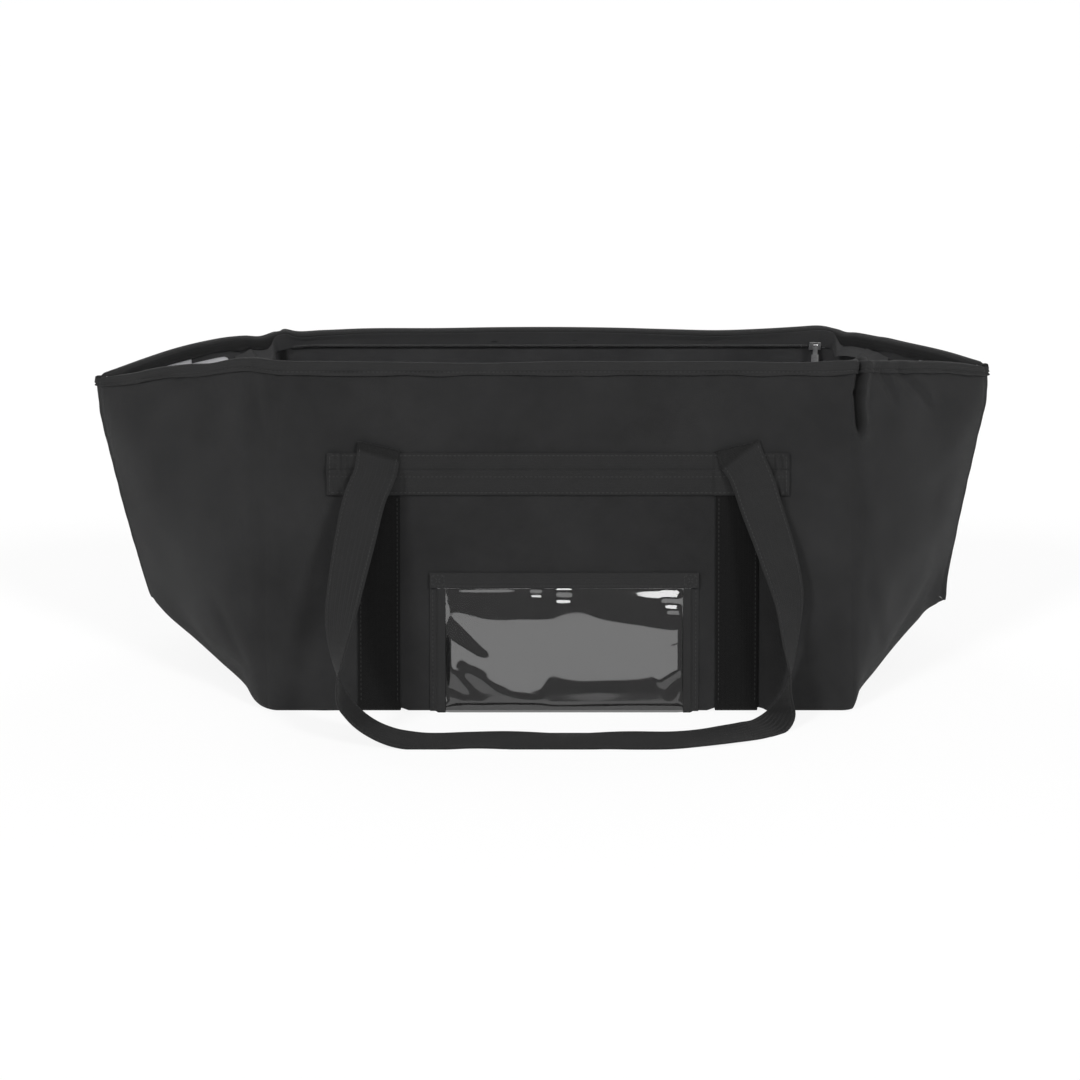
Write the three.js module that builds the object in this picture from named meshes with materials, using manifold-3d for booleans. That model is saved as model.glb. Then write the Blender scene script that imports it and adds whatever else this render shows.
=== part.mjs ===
// An insulated food carrier bag that stands open: a flat base, a front and a back panel that lean towards
// each other, and two soft gussets that are pushed out to points.
// Millimetres. +X runs along the bag to the right, +Y from front to back, +Z up.
// The origin is the middle of the base's underside, on the surface that the bag stands on.
import * as THREE from "three";
import { ConvexGeometry } from "three/addons/geometries/ConvexGeometry.js";
import { mergeVertices } from "three/addons/utils/BufferGeometryUtils.js";
import Module from "manifold-3d";

const wasm = await Module();
wasm.setup();

// Body
const baseLength = 559;
const baseDepth = 350;
const panelHeight = 330;
const panelLean = THREE.MathUtils.degToRad(15.3);
const leftTipReach = 176;
const leftTipHeight = 285;
const rightTipReach = 144.5;
const rightTipHeight = 296;
const leftApexReach = 132;
const leftApexHeight = 55;
const rightApexReach = 120;
const rightApexHeight = 52;

// Wall layers and the clearance that touching pieces keep
const clearance = 0.3;
const shellThickness = 1;
const foamThickness = 5;
const linerThickness = 0.6;
const sliver = 0.01;
const cutOverlap = 0.2;
const overrun = 5;

// Binding, facing and zip at the mouth
const bindingThickness = 1;
const bindingHeight = 12;
const facingHeight = 46;
const facingInset = 8;
const tapeThickness = 0.8;
const tapeTopDrop = 2;
const tapeTail = 30;
const coilThickness = 2;
const coilHeight = 3.5;
const coilInset = 5;
const stopLength = 3;
const stopWall = 0.8;
const sliderLength = 12;
const sliderWall = 0.7;
const sliderFoot = 1.6;
const sliderStopGap = 1;
const pullPinRadius = 0.6;
const pullPinStand = 1.6;
const pullPinDrop = 2.2;
const pullEyeWall = 0.5;
const pullEarWidth = 1;
const pullThickness = 1.2;
const pullNeckWidth = 4.8;
const pullGripWidth = 7;
const pullNeckLength = 10;
const pullGripLength = 15;

// Webbing
const webbingWidth = 40;
const webbingThickness = 1.6;
const strapOffset = 169;
const crossBandTail = 29;
const crossBandTop = 245;
const foldRadius = 1.5;
const foldRise = 4.5;
const handleReach = 135;

// Clear pocket on the front, between the two straps
const pocketLeftGap = 28;
const pocketRightGap = 16;
const pocketHeight = 132;
const pocketFoot = 1;
const pocketBindingWidth = 14.6;
const pocketBindingThickness = 0.8;
const pocketStitchWidth = 6.5;
const pocketSpace = 1.3;
const windowThickness = 0.5;
const pocketFoldDepth = 3;

// Places that follow from the sizes above
const halfLength = baseLength / 2;
const halfDepth = baseDepth / 2;
const rimY = -halfDepth + panelHeight * Math.sin(panelLean);
const rimZ = panelHeight * Math.cos(panelLean);
const foamStart = shellThickness + clearance;
const foamEnd = foamStart + foamThickness;
const linerStart = foamEnd + clearance;
const linerEnd = linerStart + linerThickness;
const facingStart = panelHeight - facingHeight;
const bindingOut = clearance + bindingThickness;
const bindingStart = panelHeight - bindingHeight;
const wallDrop = bindingThickness + clearance;
const webbingLift = clearance + webbingThickness;
const channelHeight = webbingThickness + clearance;
const channelWidth = webbingWidth + 2 * clearance;

const cloth = new THREE.MeshStandardMaterial({ color: 0x2e2e2f, roughness: 0.85, metalness: 0 });
const webbing = new THREE.MeshStandardMaterial({ color: 0x222223, roughness: 0.8, metalness: 0 });
const tapeCloth = new THREE.MeshStandardMaterial({ color: 0x262627, roughness: 0.85, metalness: 0 });
const bindingCloth = new THREE.MeshStandardMaterial({ color: 0x282829, roughness: 0.8, metalness: 0 });
const foam = new THREE.MeshStandardMaterial({ color: 0xe8e6e0, roughness: 0.95, metalness: 0 });
const foil = new THREE.MeshStandardMaterial({ color: 0xc9cbce, roughness: 0.35, metalness: 0.8 });
const coilPlastic = new THREE.MeshStandardMaterial({ color: 0x1c1c1d, roughness: 0.5, metalness: 0 });
const zincMetal = new THREE.MeshStandardMaterial({ color: 0x9a9c9e, roughness: 0.35, metalness: 0.9 });
const clearVinyl = new THREE.MeshStandardMaterial({
  color: 0x8a8b8e, roughness: 0.12, metalness: 0, transparent: true, opacity: 0.4,
});

const bag = new THREE.Group();

function addPiece(name, geometry, material, group = bag) {
  const mesh = new THREE.Mesh(geometry, material);
  mesh.name = name;
  group.add(mesh);
  return mesh;
}

// Solids and booleans
function toSolid(geometry) {
  const bare = geometry.clone();
  bare.deleteAttribute("normal");
  bare.deleteAttribute("uv");
  const merged = mergeVertices(bare);
  const mesh = new wasm.Mesh({
    numProp: 3,
    vertProperties: new Float32Array(merged.attributes.position.array),
    triVerts: new Uint32Array(merged.index.array),
  });
  return new wasm.Manifold(mesh);
}

function toGeometry(solid) {
  const mesh = solid.simplify(sliver).getMesh();
  const geometry = new THREE.BufferGeometry();
  geometry.setAttribute("position", new THREE.BufferAttribute(mesh.vertProperties, 3));
  geometry.setIndex(new THREE.BufferAttribute(mesh.triVerts, 1));
  geometry.computeVertexNormals();
  return geometry;
}

function joinAll(solids) {
  return solids.reduce((whole, solid) => whole.add(solid));
}

function box(low, high) {
  const size = high.map((value, axis) => value - low[axis]);
  const geometry = new THREE.BoxGeometry(...size);
  geometry.translate(...high.map((value, axis) => (value + low[axis]) / 2));
  return geometry;
}

// A plane is kept as its inward unit normal and its offset, so that depth is zero on it and grows inwards.
function planeThrough(a, b, c, inside) {
  const normal = b.clone().sub(a).cross(c.clone().sub(a)).normalize();
  if (inside.clone().sub(a).dot(normal) < 0) {
    normal.negate();
  }
  return { normal, offset: normal.dot(a) };
}

function shifted(plane, depth) {
  return { normal: plane.normal, offset: plane.offset + depth };
}

function flipped(plane) {
  return { normal: plane.normal.clone().negate(), offset: -plane.offset };
}

// The plane that halves the angle between two facets, facing the side where the first is the nearer one.
function mitre(near, far) {
  const normal = far.plane.normal.clone().sub(near.plane.normal);
  const length = normal.length();
  return { normal: normal.divideScalar(length), offset: (far.plane.offset - near.plane.offset) / length };
}

// A convex cell is the hull of the points where three of its planes meet inside all the others.
function convexCell(planes) {
  const nearly = 1e-6;
  const points = [];
  const rows = new THREE.Matrix3();
  for (let i = 0; i < planes.length; i += 1) {
    for (let j = i + 1; j < planes.length; j += 1) {
      for (let k = j + 1; k < planes.length; k += 1) {
        const [a, b, c] = [planes[i].normal, planes[j].normal, planes[k].normal];
        rows.set(a.x, a.y, a.z, b.x, b.y, b.z, c.x, c.y, c.z);
        if (Math.abs(rows.determinant()) < nearly) {
          continue;
        }
        const offsets = new THREE.Vector3(planes[i].offset, planes[j].offset, planes[k].offset);
        const point = offsets.applyMatrix3(rows.invert());
        const inside = planes.every((plane) => plane.normal.dot(point) >= plane.offset - nearly);
        if (inside && !points.some((other) => other.distanceTo(point) < nearly)) {
          points.push(point);
        }
      }
    }
  }
  return toSolid(new ConvexGeometry(points));
}

// Corners of the bag: base corners, rim corners, gusset tips, and the points where the base turns up.
function corners(side, reach, height, apexReach, apexHeight) {
  return {
    side,
    front: new THREE.Vector3(side * halfLength, -halfDepth, 0),
    back: new THREE.Vector3(side * halfLength, halfDepth, 0),
    rimFront: new THREE.Vector3(side * halfLength, rimY, rimZ),
    rimBack: new THREE.Vector3(side * halfLength, -rimY, rimZ),
    tip: new THREE.Vector3(side * (halfLength + reach), 0, height),
    apex: new THREE.Vector3(side * (halfLength + apexReach), 0, apexHeight),
  };
}

const left = corners(-1, leftTipReach, leftTipHeight, leftApexReach, leftApexHeight);
const right = corners(1, rightTipReach, rightTipHeight, rightApexReach, rightApexHeight);
const middle = new THREE.Vector3(0, 0, rimZ / 2);

// Facets of the outer form, each with the sewn sheet that it belongs to.
const facets = [
  { sheet: "front", plane: planeThrough(left.front, right.front, right.rimFront, middle) },
  { sheet: "back", plane: planeThrough(left.back, right.back, right.rimBack, middle) },
  { sheet: "base", plane: planeThrough(left.front, right.front, right.back, middle) },
];
for (const end of [left, right]) {
  facets.push(
    { sheet: "front", end, plane: planeThrough(end.front, end.rimFront, end.tip, middle) },
    { sheet: "front", end, lower: true, plane: planeThrough(end.front, end.tip, end.apex, middle) },
    { sheet: "back", end, plane: planeThrough(end.back, end.rimBack, end.tip, middle) },
    { sheet: "back", end, lower: true, plane: planeThrough(end.back, end.tip, end.apex, middle) },
    { sheet: "base", end, plane: planeThrough(end.front, end.back, end.apex, middle) },
  );
}

// The plane that trims a facet's top edge. On a gusset it runs from the rim corner to the tip, and meets the
// panel's own trim in the mitre at the corner.
function topTrim(facet) {
  const corner = facet.sheet === "front" ? "rimFront" : "rimBack";
  if (!facet.end) {
    const lean = facet.sheet === "front" ? 1 : -1;
    const normal = new THREE.Vector3(0, -lean * Math.sin(panelLean), -Math.cos(panelLean));
    return { normal, offset: normal.dot(left[corner]) };
  }
  const panel = facets.find((other) => other.sheet === facet.sheet && !other.end);
  const upper = facets.find((other) => other.sheet === facet.sheet && other.end === facet.end);
  const across = panel.plane.normal.clone().add(upper.plane.normal).normalize();
  const start = facet.end[corner];
  return planeThrough(start, facet.end.tip, start.clone().add(across), middle);
}

// Everything above a sheet's top edge, lowered by a drop: one cutter over the panel and one over each gusset,
// which overlap a little in the mitres at the rim's corners.
function aboveTop(sheet, drop) {
  const topped = facets.filter((facet) => facet.sheet === sheet && !facet.lower);
  const cutters = topped.map((facet) => {
    const others = topped.filter((other) => other !== facet && !(other.end && facet.end));
    const sides = others.map((other) => shifted(mitre(facet, other), -cutOverlap));
    return convexCell([...within(-2 * overrun), ...sides, flipped(shifted(topTrim(facet), drop))]);
  });
  return joinAll(cutters);
}

// The half of the bag that a front or back sheet fills, up to the side seams at the two tips.
function sheetHalf(sheet, seam) {
  const normal = new THREE.Vector3(0, sheet === "front" ? -1 : 1, 0);
  return { normal, offset: seam };
}

// The wedge that the base sheet fills, up to the mitres along its seams.
function baseWedge(seam) {
  const base = facets.filter((facet) => facet.sheet === "base");
  const pairs = base.flatMap((near) =>
    facets.filter((far) => far.end === near.end && far.sheet !== "base" && (far.lower || !far.end))
      .map((far) => mitre(near, far)),
  );
  return pairs.map((plane) => shifted(plane, seam));
}

function within(depth) {
  return facets.map((facet) => shifted(facet.plane, depth));
}

// One layer of one sewn sheet, between two depths below the outer form, up to its seams. A negative seam lets
// a cutting layer run on past them.
function sheetLayer(sheet, from, to, { topDrop = 0, seam = clearance / 2, limits = [] } = {}) {
  const core = convexCell(within(to));
  if (sheet === "base") {
    return convexCell([...within(from), ...baseWedge(seam)]).subtract(core);
  }
  const half = convexCell([...within(from), sheetHalf(sheet, seam), ...limits]);
  const base = convexCell([...within(from - overrun), ...baseWedge(-seam)]);
  return half.subtract(core).subtract(base).subtract(aboveTop(sheet, topDrop));
}

// Shell, foam and lining of the three sheets
function strapChannel(offset, height, width) {
  const reach = halfDepth + overrun;
  return toSolid(box([offset - width / 2, -reach, -overrun], [offset + width / 2, reach, height]));
}

function cutChannels(solid, height, width) {
  const leftCut = solid.subtract(strapChannel(-strapOffset, height, width));
  return leftCut.subtract(strapChannel(strapOffset, height, width));
}

function baseShell() {
  const bridgeWidth = channelWidth + 2 * shellThickness;
  const sheet = cutChannels(sheetLayer("base", 0, shellThickness), channelHeight, channelWidth);
  const raised = sheetLayer("base", 0, channelHeight + shellThickness);
  const bridges = [-strapOffset, strapOffset].map((offset) =>
    raised.intersect(strapChannel(offset, channelHeight + shellThickness + overrun, bridgeWidth)),
  );
  return cutChannels(joinAll([sheet, ...bridges]), channelHeight, channelWidth);
}

function baseFoam() {
  const bridgeWidth = channelWidth + 2 * (shellThickness + clearance);
  return cutChannels(sheetLayer("base", foamStart, foamEnd), channelHeight + foamStart, bridgeWidth);
}

function facingBox(margin) {
  const reach = halfLength - facingInset + margin;
  const depth = linerEnd + overrun;
  return box([-reach, facingStart - margin, -depth], [reach, panelHeight + overrun, 0]);
}

// The panel frame has +X along the panel, +Y up its slope from the base's edge, and +Z straight out of it.
function panelFrame(turn) {
  const frame = new THREE.Group();
  frame.rotation.x = Math.PI / 2 - panelLean;
  frame.position.y = -halfDepth;
  const holder = new THREE.Group();
  holder.rotation.z = turn;
  holder.add(frame);
  holder.updateMatrixWorld(true);
  bag.add(holder);
  return frame;
}

const panels = { front: panelFrame(0), back: panelFrame(Math.PI) };

function inBag(geometry, sheet) {
  return toSolid(geometry.clone().applyMatrix4(panels[sheet].matrixWorld));
}

function wallLining(sheet) {
  const whole = sheetLayer(sheet, linerStart, linerEnd, { topDrop: wallDrop });
  return whole.subtract(inBag(facingBox(clearance), sheet));
}

function facing(sheet) {
  const layer = sheetLayer(sheet, linerStart, linerEnd, { topDrop: wallDrop });
  return layer.intersect(inBag(facingBox(0), sheet));
}

// Binding folded over the rim: a thick layer with a groove for the wall cut out of its underside.
function rimBinding(sheet) {
  const inner = linerEnd + clearance;
  const outside = sheetLayer(sheet, -bindingOut, inner + bindingThickness);
  const groove = sheetLayer(sheet, -clearance, inner, { topDrop: bindingThickness, seam: -clearance });
  return outside.subtract(groove).intersect(aboveTop(sheet, bindingHeight));
}

for (const sheet of ["front", "back"]) {
  const shell = sheetLayer(sheet, 0, shellThickness, { topDrop: wallDrop });
  const padding = sheetLayer(sheet, foamStart, foamEnd, { topDrop: wallDrop });
  addPiece(`${sheet}_shell`, toGeometry(cutChannels(shell, channelHeight, channelWidth)), cloth);
  addPiece(`${sheet}_foam`, toGeometry(cutChannels(padding, channelHeight, channelWidth)), foam);
  addPiece(`${sheet}_liner`, toGeometry(wallLining(sheet)), foil);
  addPiece(`${sheet}_facing`, toGeometry(facing(sheet)), cloth);
  addPiece(`${sheet}_rim_binding`, toGeometry(rimBinding(sheet)), bindingCloth);
}
addPiece("base_shell", toGeometry(baseShell()), cloth);
addPiece("base_foam", toGeometry(baseFoam()), foam);
addPiece("base_liner", toGeometry(sheetLayer("base", linerStart, linerEnd)), foil);

// Zip along the inside of the rim. Depths are measured inwards from the panel's outer face.
const coilBack = linerEnd + clearance + sliderWall + clearance;
const coilFront = coilBack + coilThickness;
const tapeMiddle = (coilBack + coilFront) / 2;
const coilTop = bindingStart - coilInset + coilHeight / 2;
const coilBottom = coilTop - coilHeight;
const coilReach = halfLength - facingInset;
const tapeBottom = coilTop + clearance;

function zipTape(sheet) {
  const limits = [-1, 1].map((side) => {
    const normal = new THREE.Vector3(-side, 0, 0);
    return { normal, offset: -(halfLength + tapeTail) };
  });
  const half = tapeThickness / 2;
  const strip = sheetLayer(sheet, tapeMiddle - half, tapeMiddle + half, { topDrop: tapeTopDrop, limits });
  return strip.intersect(aboveTop(sheet, panelHeight - tapeBottom));
}

// A clip folded round the tape's edge, just past the end of the coil.
function zipStop() {
  const slot = tapeThickness / 2 + clearance;
  const wall = slot + stopWall;
  const outline = new THREE.Shape([
    new THREE.Vector2(-wall, -coilHeight),
    new THREE.Vector2(wall, -coilHeight),
    new THREE.Vector2(wall, stopWall * 2),
    new THREE.Vector2(slot, stopWall * 2),
    new THREE.Vector2(slot, 0),
    new THREE.Vector2(-slot, 0),
    new THREE.Vector2(-slot, stopWall * 2),
    new THREE.Vector2(-wall, stopWall * 2),
  ]);
  return alongX(outline, stopLength);
}

// An outline drawn in depth and height becomes a bar along X, centred on X = 0.
function alongX(outline, length) {
  const geometry = new THREE.ExtrudeGeometry(outline, { depth: length, bevelEnabled: false });
  geometry.translate(0, 0, -length / 2);
  const depthAxis = new THREE.Vector3(0, 0, 1);
  const heightAxis = new THREE.Vector3(0, 1, 0);
  const lengthAxis = new THREE.Vector3(-1, 0, 0);
  return geometry.applyMatrix4(new THREE.Matrix4().makeBasis(depthAxis, heightAxis, lengthAxis));
}

for (const sheet of ["front", "back"]) {
  addPiece(`${sheet}_zip_tape`, toGeometry(zipTape(sheet)), tapeCloth);
  const coil = box([-coilReach, coilBottom, -coilFront], [coilReach, coilTop, -coilBack]);
  addPiece(`${sheet}_zip_coil`, coil, coilPlastic, panels[sheet]);
  for (const [name, side] of [["left", -1], ["right", 1]]) {
    const stop = addPiece(`${sheet}_zip_stop_${name}`, zipStop(), zincMetal, panels[sheet]);
    const turned = sheet === "front" ? side : -side;
    stop.position.set(turned * (coilReach + clearance + stopLength / 2), coilTop, -tapeMiddle);
  }
}

// Slider: a channel round the coil with a slit for the tape, and two ears with a pin for the pull.
const sliderPlace = -(coilReach - sliderStopGap - sliderLength / 2);
const channelBack = coilBack - clearance;
const channelFront = coilFront + clearance;
const sliderFront = channelFront + sliderWall;
const sliderBottom = coilBottom - clearance - sliderFoot;
const sliderTop = bindingStart - clearance;
const pinDepth = sliderFront + pullPinStand;
const pinHeight = sliderTop - pullPinDrop;
const eyeHole = pullPinRadius + clearance;
const eyeRadius = eyeHole + pullEyeWall;

function zipSlider() {
  const half = sliderLength / 2;
  const slot = tapeThickness / 2 + clearance;
  const bodyBack = channelBack - sliderWall;
  const body = toSolid(box([-half, sliderBottom, -sliderFront], [half, sliderTop, -bodyBack]));
  const coilRoom = box(
    [-half - overrun, coilBottom - clearance, -channelFront],
    [half + overrun, coilTop + clearance, -channelBack],
  );
  const tapeRoom = box(
    [-half - overrun, coilTop, -(tapeMiddle + slot)],
    [half + overrun, sliderTop + overrun, -(tapeMiddle - slot)],
  );
  const earInside = pullNeckWidth / 2 + clearance;
  const earOutside = earInside + pullEarWidth;
  const ears = [-1, 1].map((side) => {
    const [near, far] = side < 0 ? [-earOutside, -earInside] : [earInside, earOutside];
    const low = [near, pinHeight - eyeRadius, -(pinDepth + pullPinRadius * 2)];
    return toSolid(box(low, [far, pinHeight + eyeRadius, -(sliderFront - sliderWall / 2)]));
  });
  const pin = new THREE.CylinderGeometry(pullPinRadius, pullPinRadius, 2 * earInside + pullEarWidth, 16);
  pin.rotateZ(Math.PI / 2);
  pin.translate(0, pinHeight, -pinDepth);
  const whole = body.subtract(toSolid(coilRoom)).subtract(toSolid(tapeRoom));
  return toGeometry(joinAll([whole, ...ears, toSolid(pin)]));
}

// Pull: an eye round the slider's pin, a neck and a rounded grip. It hangs plumb from the leaning panel.
function zipPull() {
  const ring = new THREE.Shape();
  ring.absarc(0, 0, eyeRadius, 0, 2 * Math.PI);
  const hole = new THREE.Path();
  hole.absarc(0, 0, eyeHole, 0, 2 * Math.PI, true);
  ring.holes.push(hole);
  const eye = new THREE.ExtrudeGeometry(ring, {
    depth: pullNeckWidth, bevelEnabled: false, curveSegments: 10,
  });
  eye.translate(0, 0, -pullNeckWidth / 2);
  eye.rotateY(Math.PI / 2);
  const half = pullThickness / 2;
  const neckLow = -(pullNeckLength + half);
  const neck = box([-pullNeckWidth / 2, neckLow, -half], [pullNeckWidth / 2, -eyeHole, half]);
  const grip = new THREE.Shape();
  const radius = pullGripWidth / 2;
  const gripLow = -(pullNeckLength + pullGripLength - radius);
  grip.moveTo(radius, -pullNeckLength);
  grip.lineTo(-radius, -pullNeckLength);
  grip.lineTo(-radius, gripLow);
  grip.absarc(0, gripLow, radius, Math.PI, 2 * Math.PI);
  const plate = new THREE.ExtrudeGeometry(grip, {
    depth: pullThickness, bevelEnabled: false, curveSegments: 8,
  });
  plate.translate(0, 0, -half);
  return toGeometry(joinAll([toSolid(eye), toSolid(neck), toSolid(plate)]));
}

const slider = new THREE.Group();
slider.position.x = sliderPlace;
panels.back.add(slider);
addPiece("zip_slider", zipSlider(), zincMetal, slider);
const pull = addPiece("zip_pull", zipPull(), zincMetal, slider);
pull.position.set(0, pinHeight, -pinDepth);
pull.rotation.x = panelLean;

// Carry webbing: one length goes up the front, under the base and up the back.
const foldHeight = crossBandTop + foldRise;
const foldOut = webbingLift + webbingLift + clearance + webbingThickness / 2 - foldRadius;
const strapTop = foldHeight - foldRadius - webbingThickness / 2 - clearance;

// A point on the front panel's section, from its height up the slope and its distance out of the panel.
function onPanel(height, out) {
  return new THREE.Vector2(
    -halfDepth + height * Math.sin(panelLean) - out * Math.cos(panelLean),
    height * Math.cos(panelLean) + out * Math.sin(panelLean),
  );
}

function carryWebbing() {
  const halfway = (z, out) => {
    const y = -halfDepth + z * Math.tan(panelLean) - out / Math.cos(panelLean);
    return new THREE.Vector2(y, z);
  };
  const frontHalf = [
    halfway(0, webbingLift),
    onPanel(strapTop, webbingLift),
    onPanel(strapTop, clearance),
    halfway(webbingThickness, clearance),
  ];
  const backHalf = frontHalf.map((point) => new THREE.Vector2(-point.x, point.y)).reverse();
  const geometry = new THREE.ExtrudeGeometry(new THREE.Shape([...frontHalf, ...backHalf]), {
    depth: webbingWidth, bevelEnabled: false,
  });
  geometry.translate(0, 0, -webbingWidth / 2);
  const yAxis = new THREE.Vector3(0, 1, 0);
  const zAxis = new THREE.Vector3(0, 0, 1);
  const xAxis = new THREE.Vector3(1, 0, 0);
  return geometry.applyMatrix4(new THREE.Matrix4().makeBasis(yAxis, zAxis, xAxis));
}

addPiece("left_carry_webbing", carryWebbing(), webbing).position.x = -strapOffset;
addPiece("right_carry_webbing", carryWebbing(), webbing).position.x = strapOffset;

// Cross band: sewn to the panel, and stepped up where it passes over the two straps.
function crossBand() {
  const half = strapOffset + webbingWidth / 2 + crossBandTail;
  const bottom = [new THREE.Vector2(-half, clearance)];
  const top = [new THREE.Vector2(-half, webbingLift)];
  for (const centre of [-strapOffset, strapOffset]) {
    const inner = webbingWidth / 2 + clearance;
    const outer = inner + webbingThickness;
    const raised = webbingLift + clearance;
    bottom.push(
      new THREE.Vector2(centre - inner, clearance),
      new THREE.Vector2(centre - inner, raised),
      new THREE.Vector2(centre + inner, raised),
      new THREE.Vector2(centre + inner, clearance),
    );
    top.push(
      new THREE.Vector2(centre - outer, webbingLift),
      new THREE.Vector2(centre - outer, raised + webbingThickness),
      new THREE.Vector2(centre + outer, raised + webbingThickness),
      new THREE.Vector2(centre + outer, webbingLift),
    );
  }
  bottom.push(new THREE.Vector2(half, clearance));
  top.push(new THREE.Vector2(half, webbingLift));
  const outline = new THREE.Shape([...bottom, ...top.reverse()]);
  const geometry = new THREE.ExtrudeGeometry(outline, { depth: webbingWidth, bevelEnabled: false });
  const along = new THREE.Vector3(1, 0, 0);
  const out = new THREE.Vector3(0, 0, 1);
  const down = new THREE.Vector3(0, -1, 0);
  geometry.applyMatrix4(new THREE.Matrix4().makeBasis(along, out, down));
  return geometry.translate(0, crossBandTop, 0);
}

for (const sheet of ["front", "back"]) {
  addPiece(`${sheet}_cross_band`, crossBand(), webbing, panels[sheet]);
}

// Handle: webbing that turns over at the strap's end, hangs down in front, twists a quarter turn on the way
// and lies flat on the ground between its two legs. Each row is a place on its centre line: X in shares of
// the strap's offset, Y in shares of the reach from the fold, Z in shares of the fold's height, and the
// turn of its width away from +X in shares of a half turn.
const handleRouteShares = [
  [-1.003, 0.04, 0.967, 0],
  [-1.014, 0.11, 0.921, 0],
  [-1.065, 0.225, 0.838, 0.017],
  [-1.111, 0.385, 0.712, 0.056],
  [-1.16, 0.59, 0.536, 0.183],
  [-1.18, 0.715, 0.434, 0.267],
  [-1.19, 0.805, 0.359, 0.344],
  [-1.189, 0.92, 0.262, 0.444],
  [-1.185, 0.972, 0.215, 0.5],
  [-1.172, 0.997, 0.17, 0.53],
  [-1.134, 1, 0.13, 0.54],
  [-1.079, 1, 0.0874, 0.54],
  [-1.001, 1, 0.0484, 0.53],
  [-0.9, 1, 0.0182, 0.52],
  [-0.78, 1, 0.0033, 0.51],
  [-0.5, 1, 0.0033, 0.5],
  [-0.15, 1, 0.0033, 0.5],
  [0.237, 1, 0.0033, 0.5],
  [0.65, 0.99, 0.0033, 0.47],
  [0.888, 0.931, 0.0033, 0.4],
  [1.065, 0.827, 0.004, 0.29],
  [1.178, 0.723, 0.012, 0.27],
  [1.231, 0.649, 0.05, 0.38],
  [1.263, 0.604, 0.116, 0.5],
  [1.284, 0.578, 0.19, 0.556],
  [1.285, 0.53, 0.3125, 0.656],
  [1.273, 0.464, 0.4545, 0.75],
  [1.22, 0.353, 0.605, 0.87],
  [1.131, 0.19, 0.788, 0.97],
  [1.062, 0.093, 0.918, 1],
  [1.024, 0.035, 0.966, 1],
];
const legSteps = 64;
const foldSteps = 6;

// A ribbon of webbing: a flat section carried through stations, each with a centre and a width direction.
function ribbon(stations) {
  const positions = [];
  stations.forEach((station, index) => {
    const before = stations[Math.max(index - 1, 0)].centre;
    const after = stations[Math.min(index + 1, stations.length - 1)].centre;
    const along = after.clone().sub(before).normalize();
    const width = station.width.clone().addScaledVector(along, -station.width.dot(along)).normalize();
    const face = along.clone().cross(width);
    for (const [across, through] of [[-1, -1], [1, -1], [1, 1], [-1, 1]]) {
      const point = station.centre.clone().addScaledVector(width, (across * webbingWidth) / 2);
      point.addScaledVector(face, (through * webbingThickness) / 2);
      positions.push(point.x, point.y, Math.max(point.z, 0));
    }
  });
  const indices = [];
  for (let ring = 0; ring + 1 < stations.length; ring += 1) {
    for (let side = 0; side < 4; side += 1) {
      const next = (side + 1) % 4;
      const [a, b] = [ring * 4 + side, ring * 4 + next];
      indices.push(a, b, a + 4, b, b + 4, a + 4);
    }
  }
  const last = (stations.length - 1) * 4;
  indices.push(0, 2, 1, 0, 3, 2, last, last + 1, last + 2, last, last + 2, last + 3);
  const geometry = new THREE.BufferGeometry();
  geometry.setAttribute("position", new THREE.Float32BufferAttribute(positions, 3));
  geometry.setIndex(indices);
  return geometry;
}

function foldStations(side) {
  return Array.from({ length: foldSteps }, (_, step) => {
    const angle = Math.PI * (1 - step / foldSteps);
    const place = onPanel(foldHeight + foldRadius * Math.sin(angle), foldOut + foldRadius * Math.cos(angle));
    const centre = new THREE.Vector3(side * strapOffset, place.x, place.y);
    return { centre, width: new THREE.Vector3(-side, 0, 0) };
  });
}

function handle() {
  const fold = onPanel(foldHeight, foldOut);
  const hang = [-1, 1].map((side) => {
    const place = onPanel(foldHeight, foldOut + foldRadius);
    return { centre: new THREE.Vector3(side * strapOffset, place.x, place.y), turn: side < 0 ? 0 : 1 };
  });
  const route = handleRouteShares.map(([x, y, z, turn]) => ({
    centre: new THREE.Vector3(x * strapOffset, fold.x - y * handleReach, z * fold.y),
    turn,
  }));
  const rows = [hang[0], ...route, hang[1]];
  const curve = new THREE.CatmullRomCurve3(rows.map((row) => row.centre));
  const legs = Array.from({ length: legSteps + 1 }, (_, step) => {
    const share = curve.getUtoTmapping(step / legSteps);
    const place = Math.min(share * (rows.length - 1), rows.length - 1);
    const low = Math.min(Math.floor(place), rows.length - 2);
    const turn = Math.PI * THREE.MathUtils.lerp(rows[low].turn, rows[low + 1].turn, place - low);
    return { centre: curve.getPoint(share), width: new THREE.Vector3(Math.cos(turn), -Math.sin(turn), 0) };
  });
  return ribbon([...foldStations(-1), ...legs, ...foldStations(1).reverse()]);
}

for (const [sheet, turn] of [["front", 0], ["back", Math.PI]]) {
  addPiece(`${sheet}_handle`, handle(), webbing).rotation.z = turn;
}

// Clear pocket on the front panel, bound on three sides and open behind its top binding
const strapInside = strapOffset - webbingWidth / 2;
const pocketLeft = pocketLeftGap - strapInside;
const pocketRight = strapInside - pocketRightGap;
const windowOut = pocketSpace + windowThickness;
const bindingUnder = windowOut + clearance;
const bindingOver = bindingUnder + pocketBindingThickness;
const pocketSideTop = pocketHeight - pocketBindingWidth - clearance;

function pocketWindow() {
  const inset = pocketStitchWidth + clearance;
  const top = pocketHeight - pocketFoldDepth - clearance;
  return box([pocketLeft + inset, pocketFoot, pocketSpace], [pocketRight - inset, top, windowOut]);
}

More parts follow.
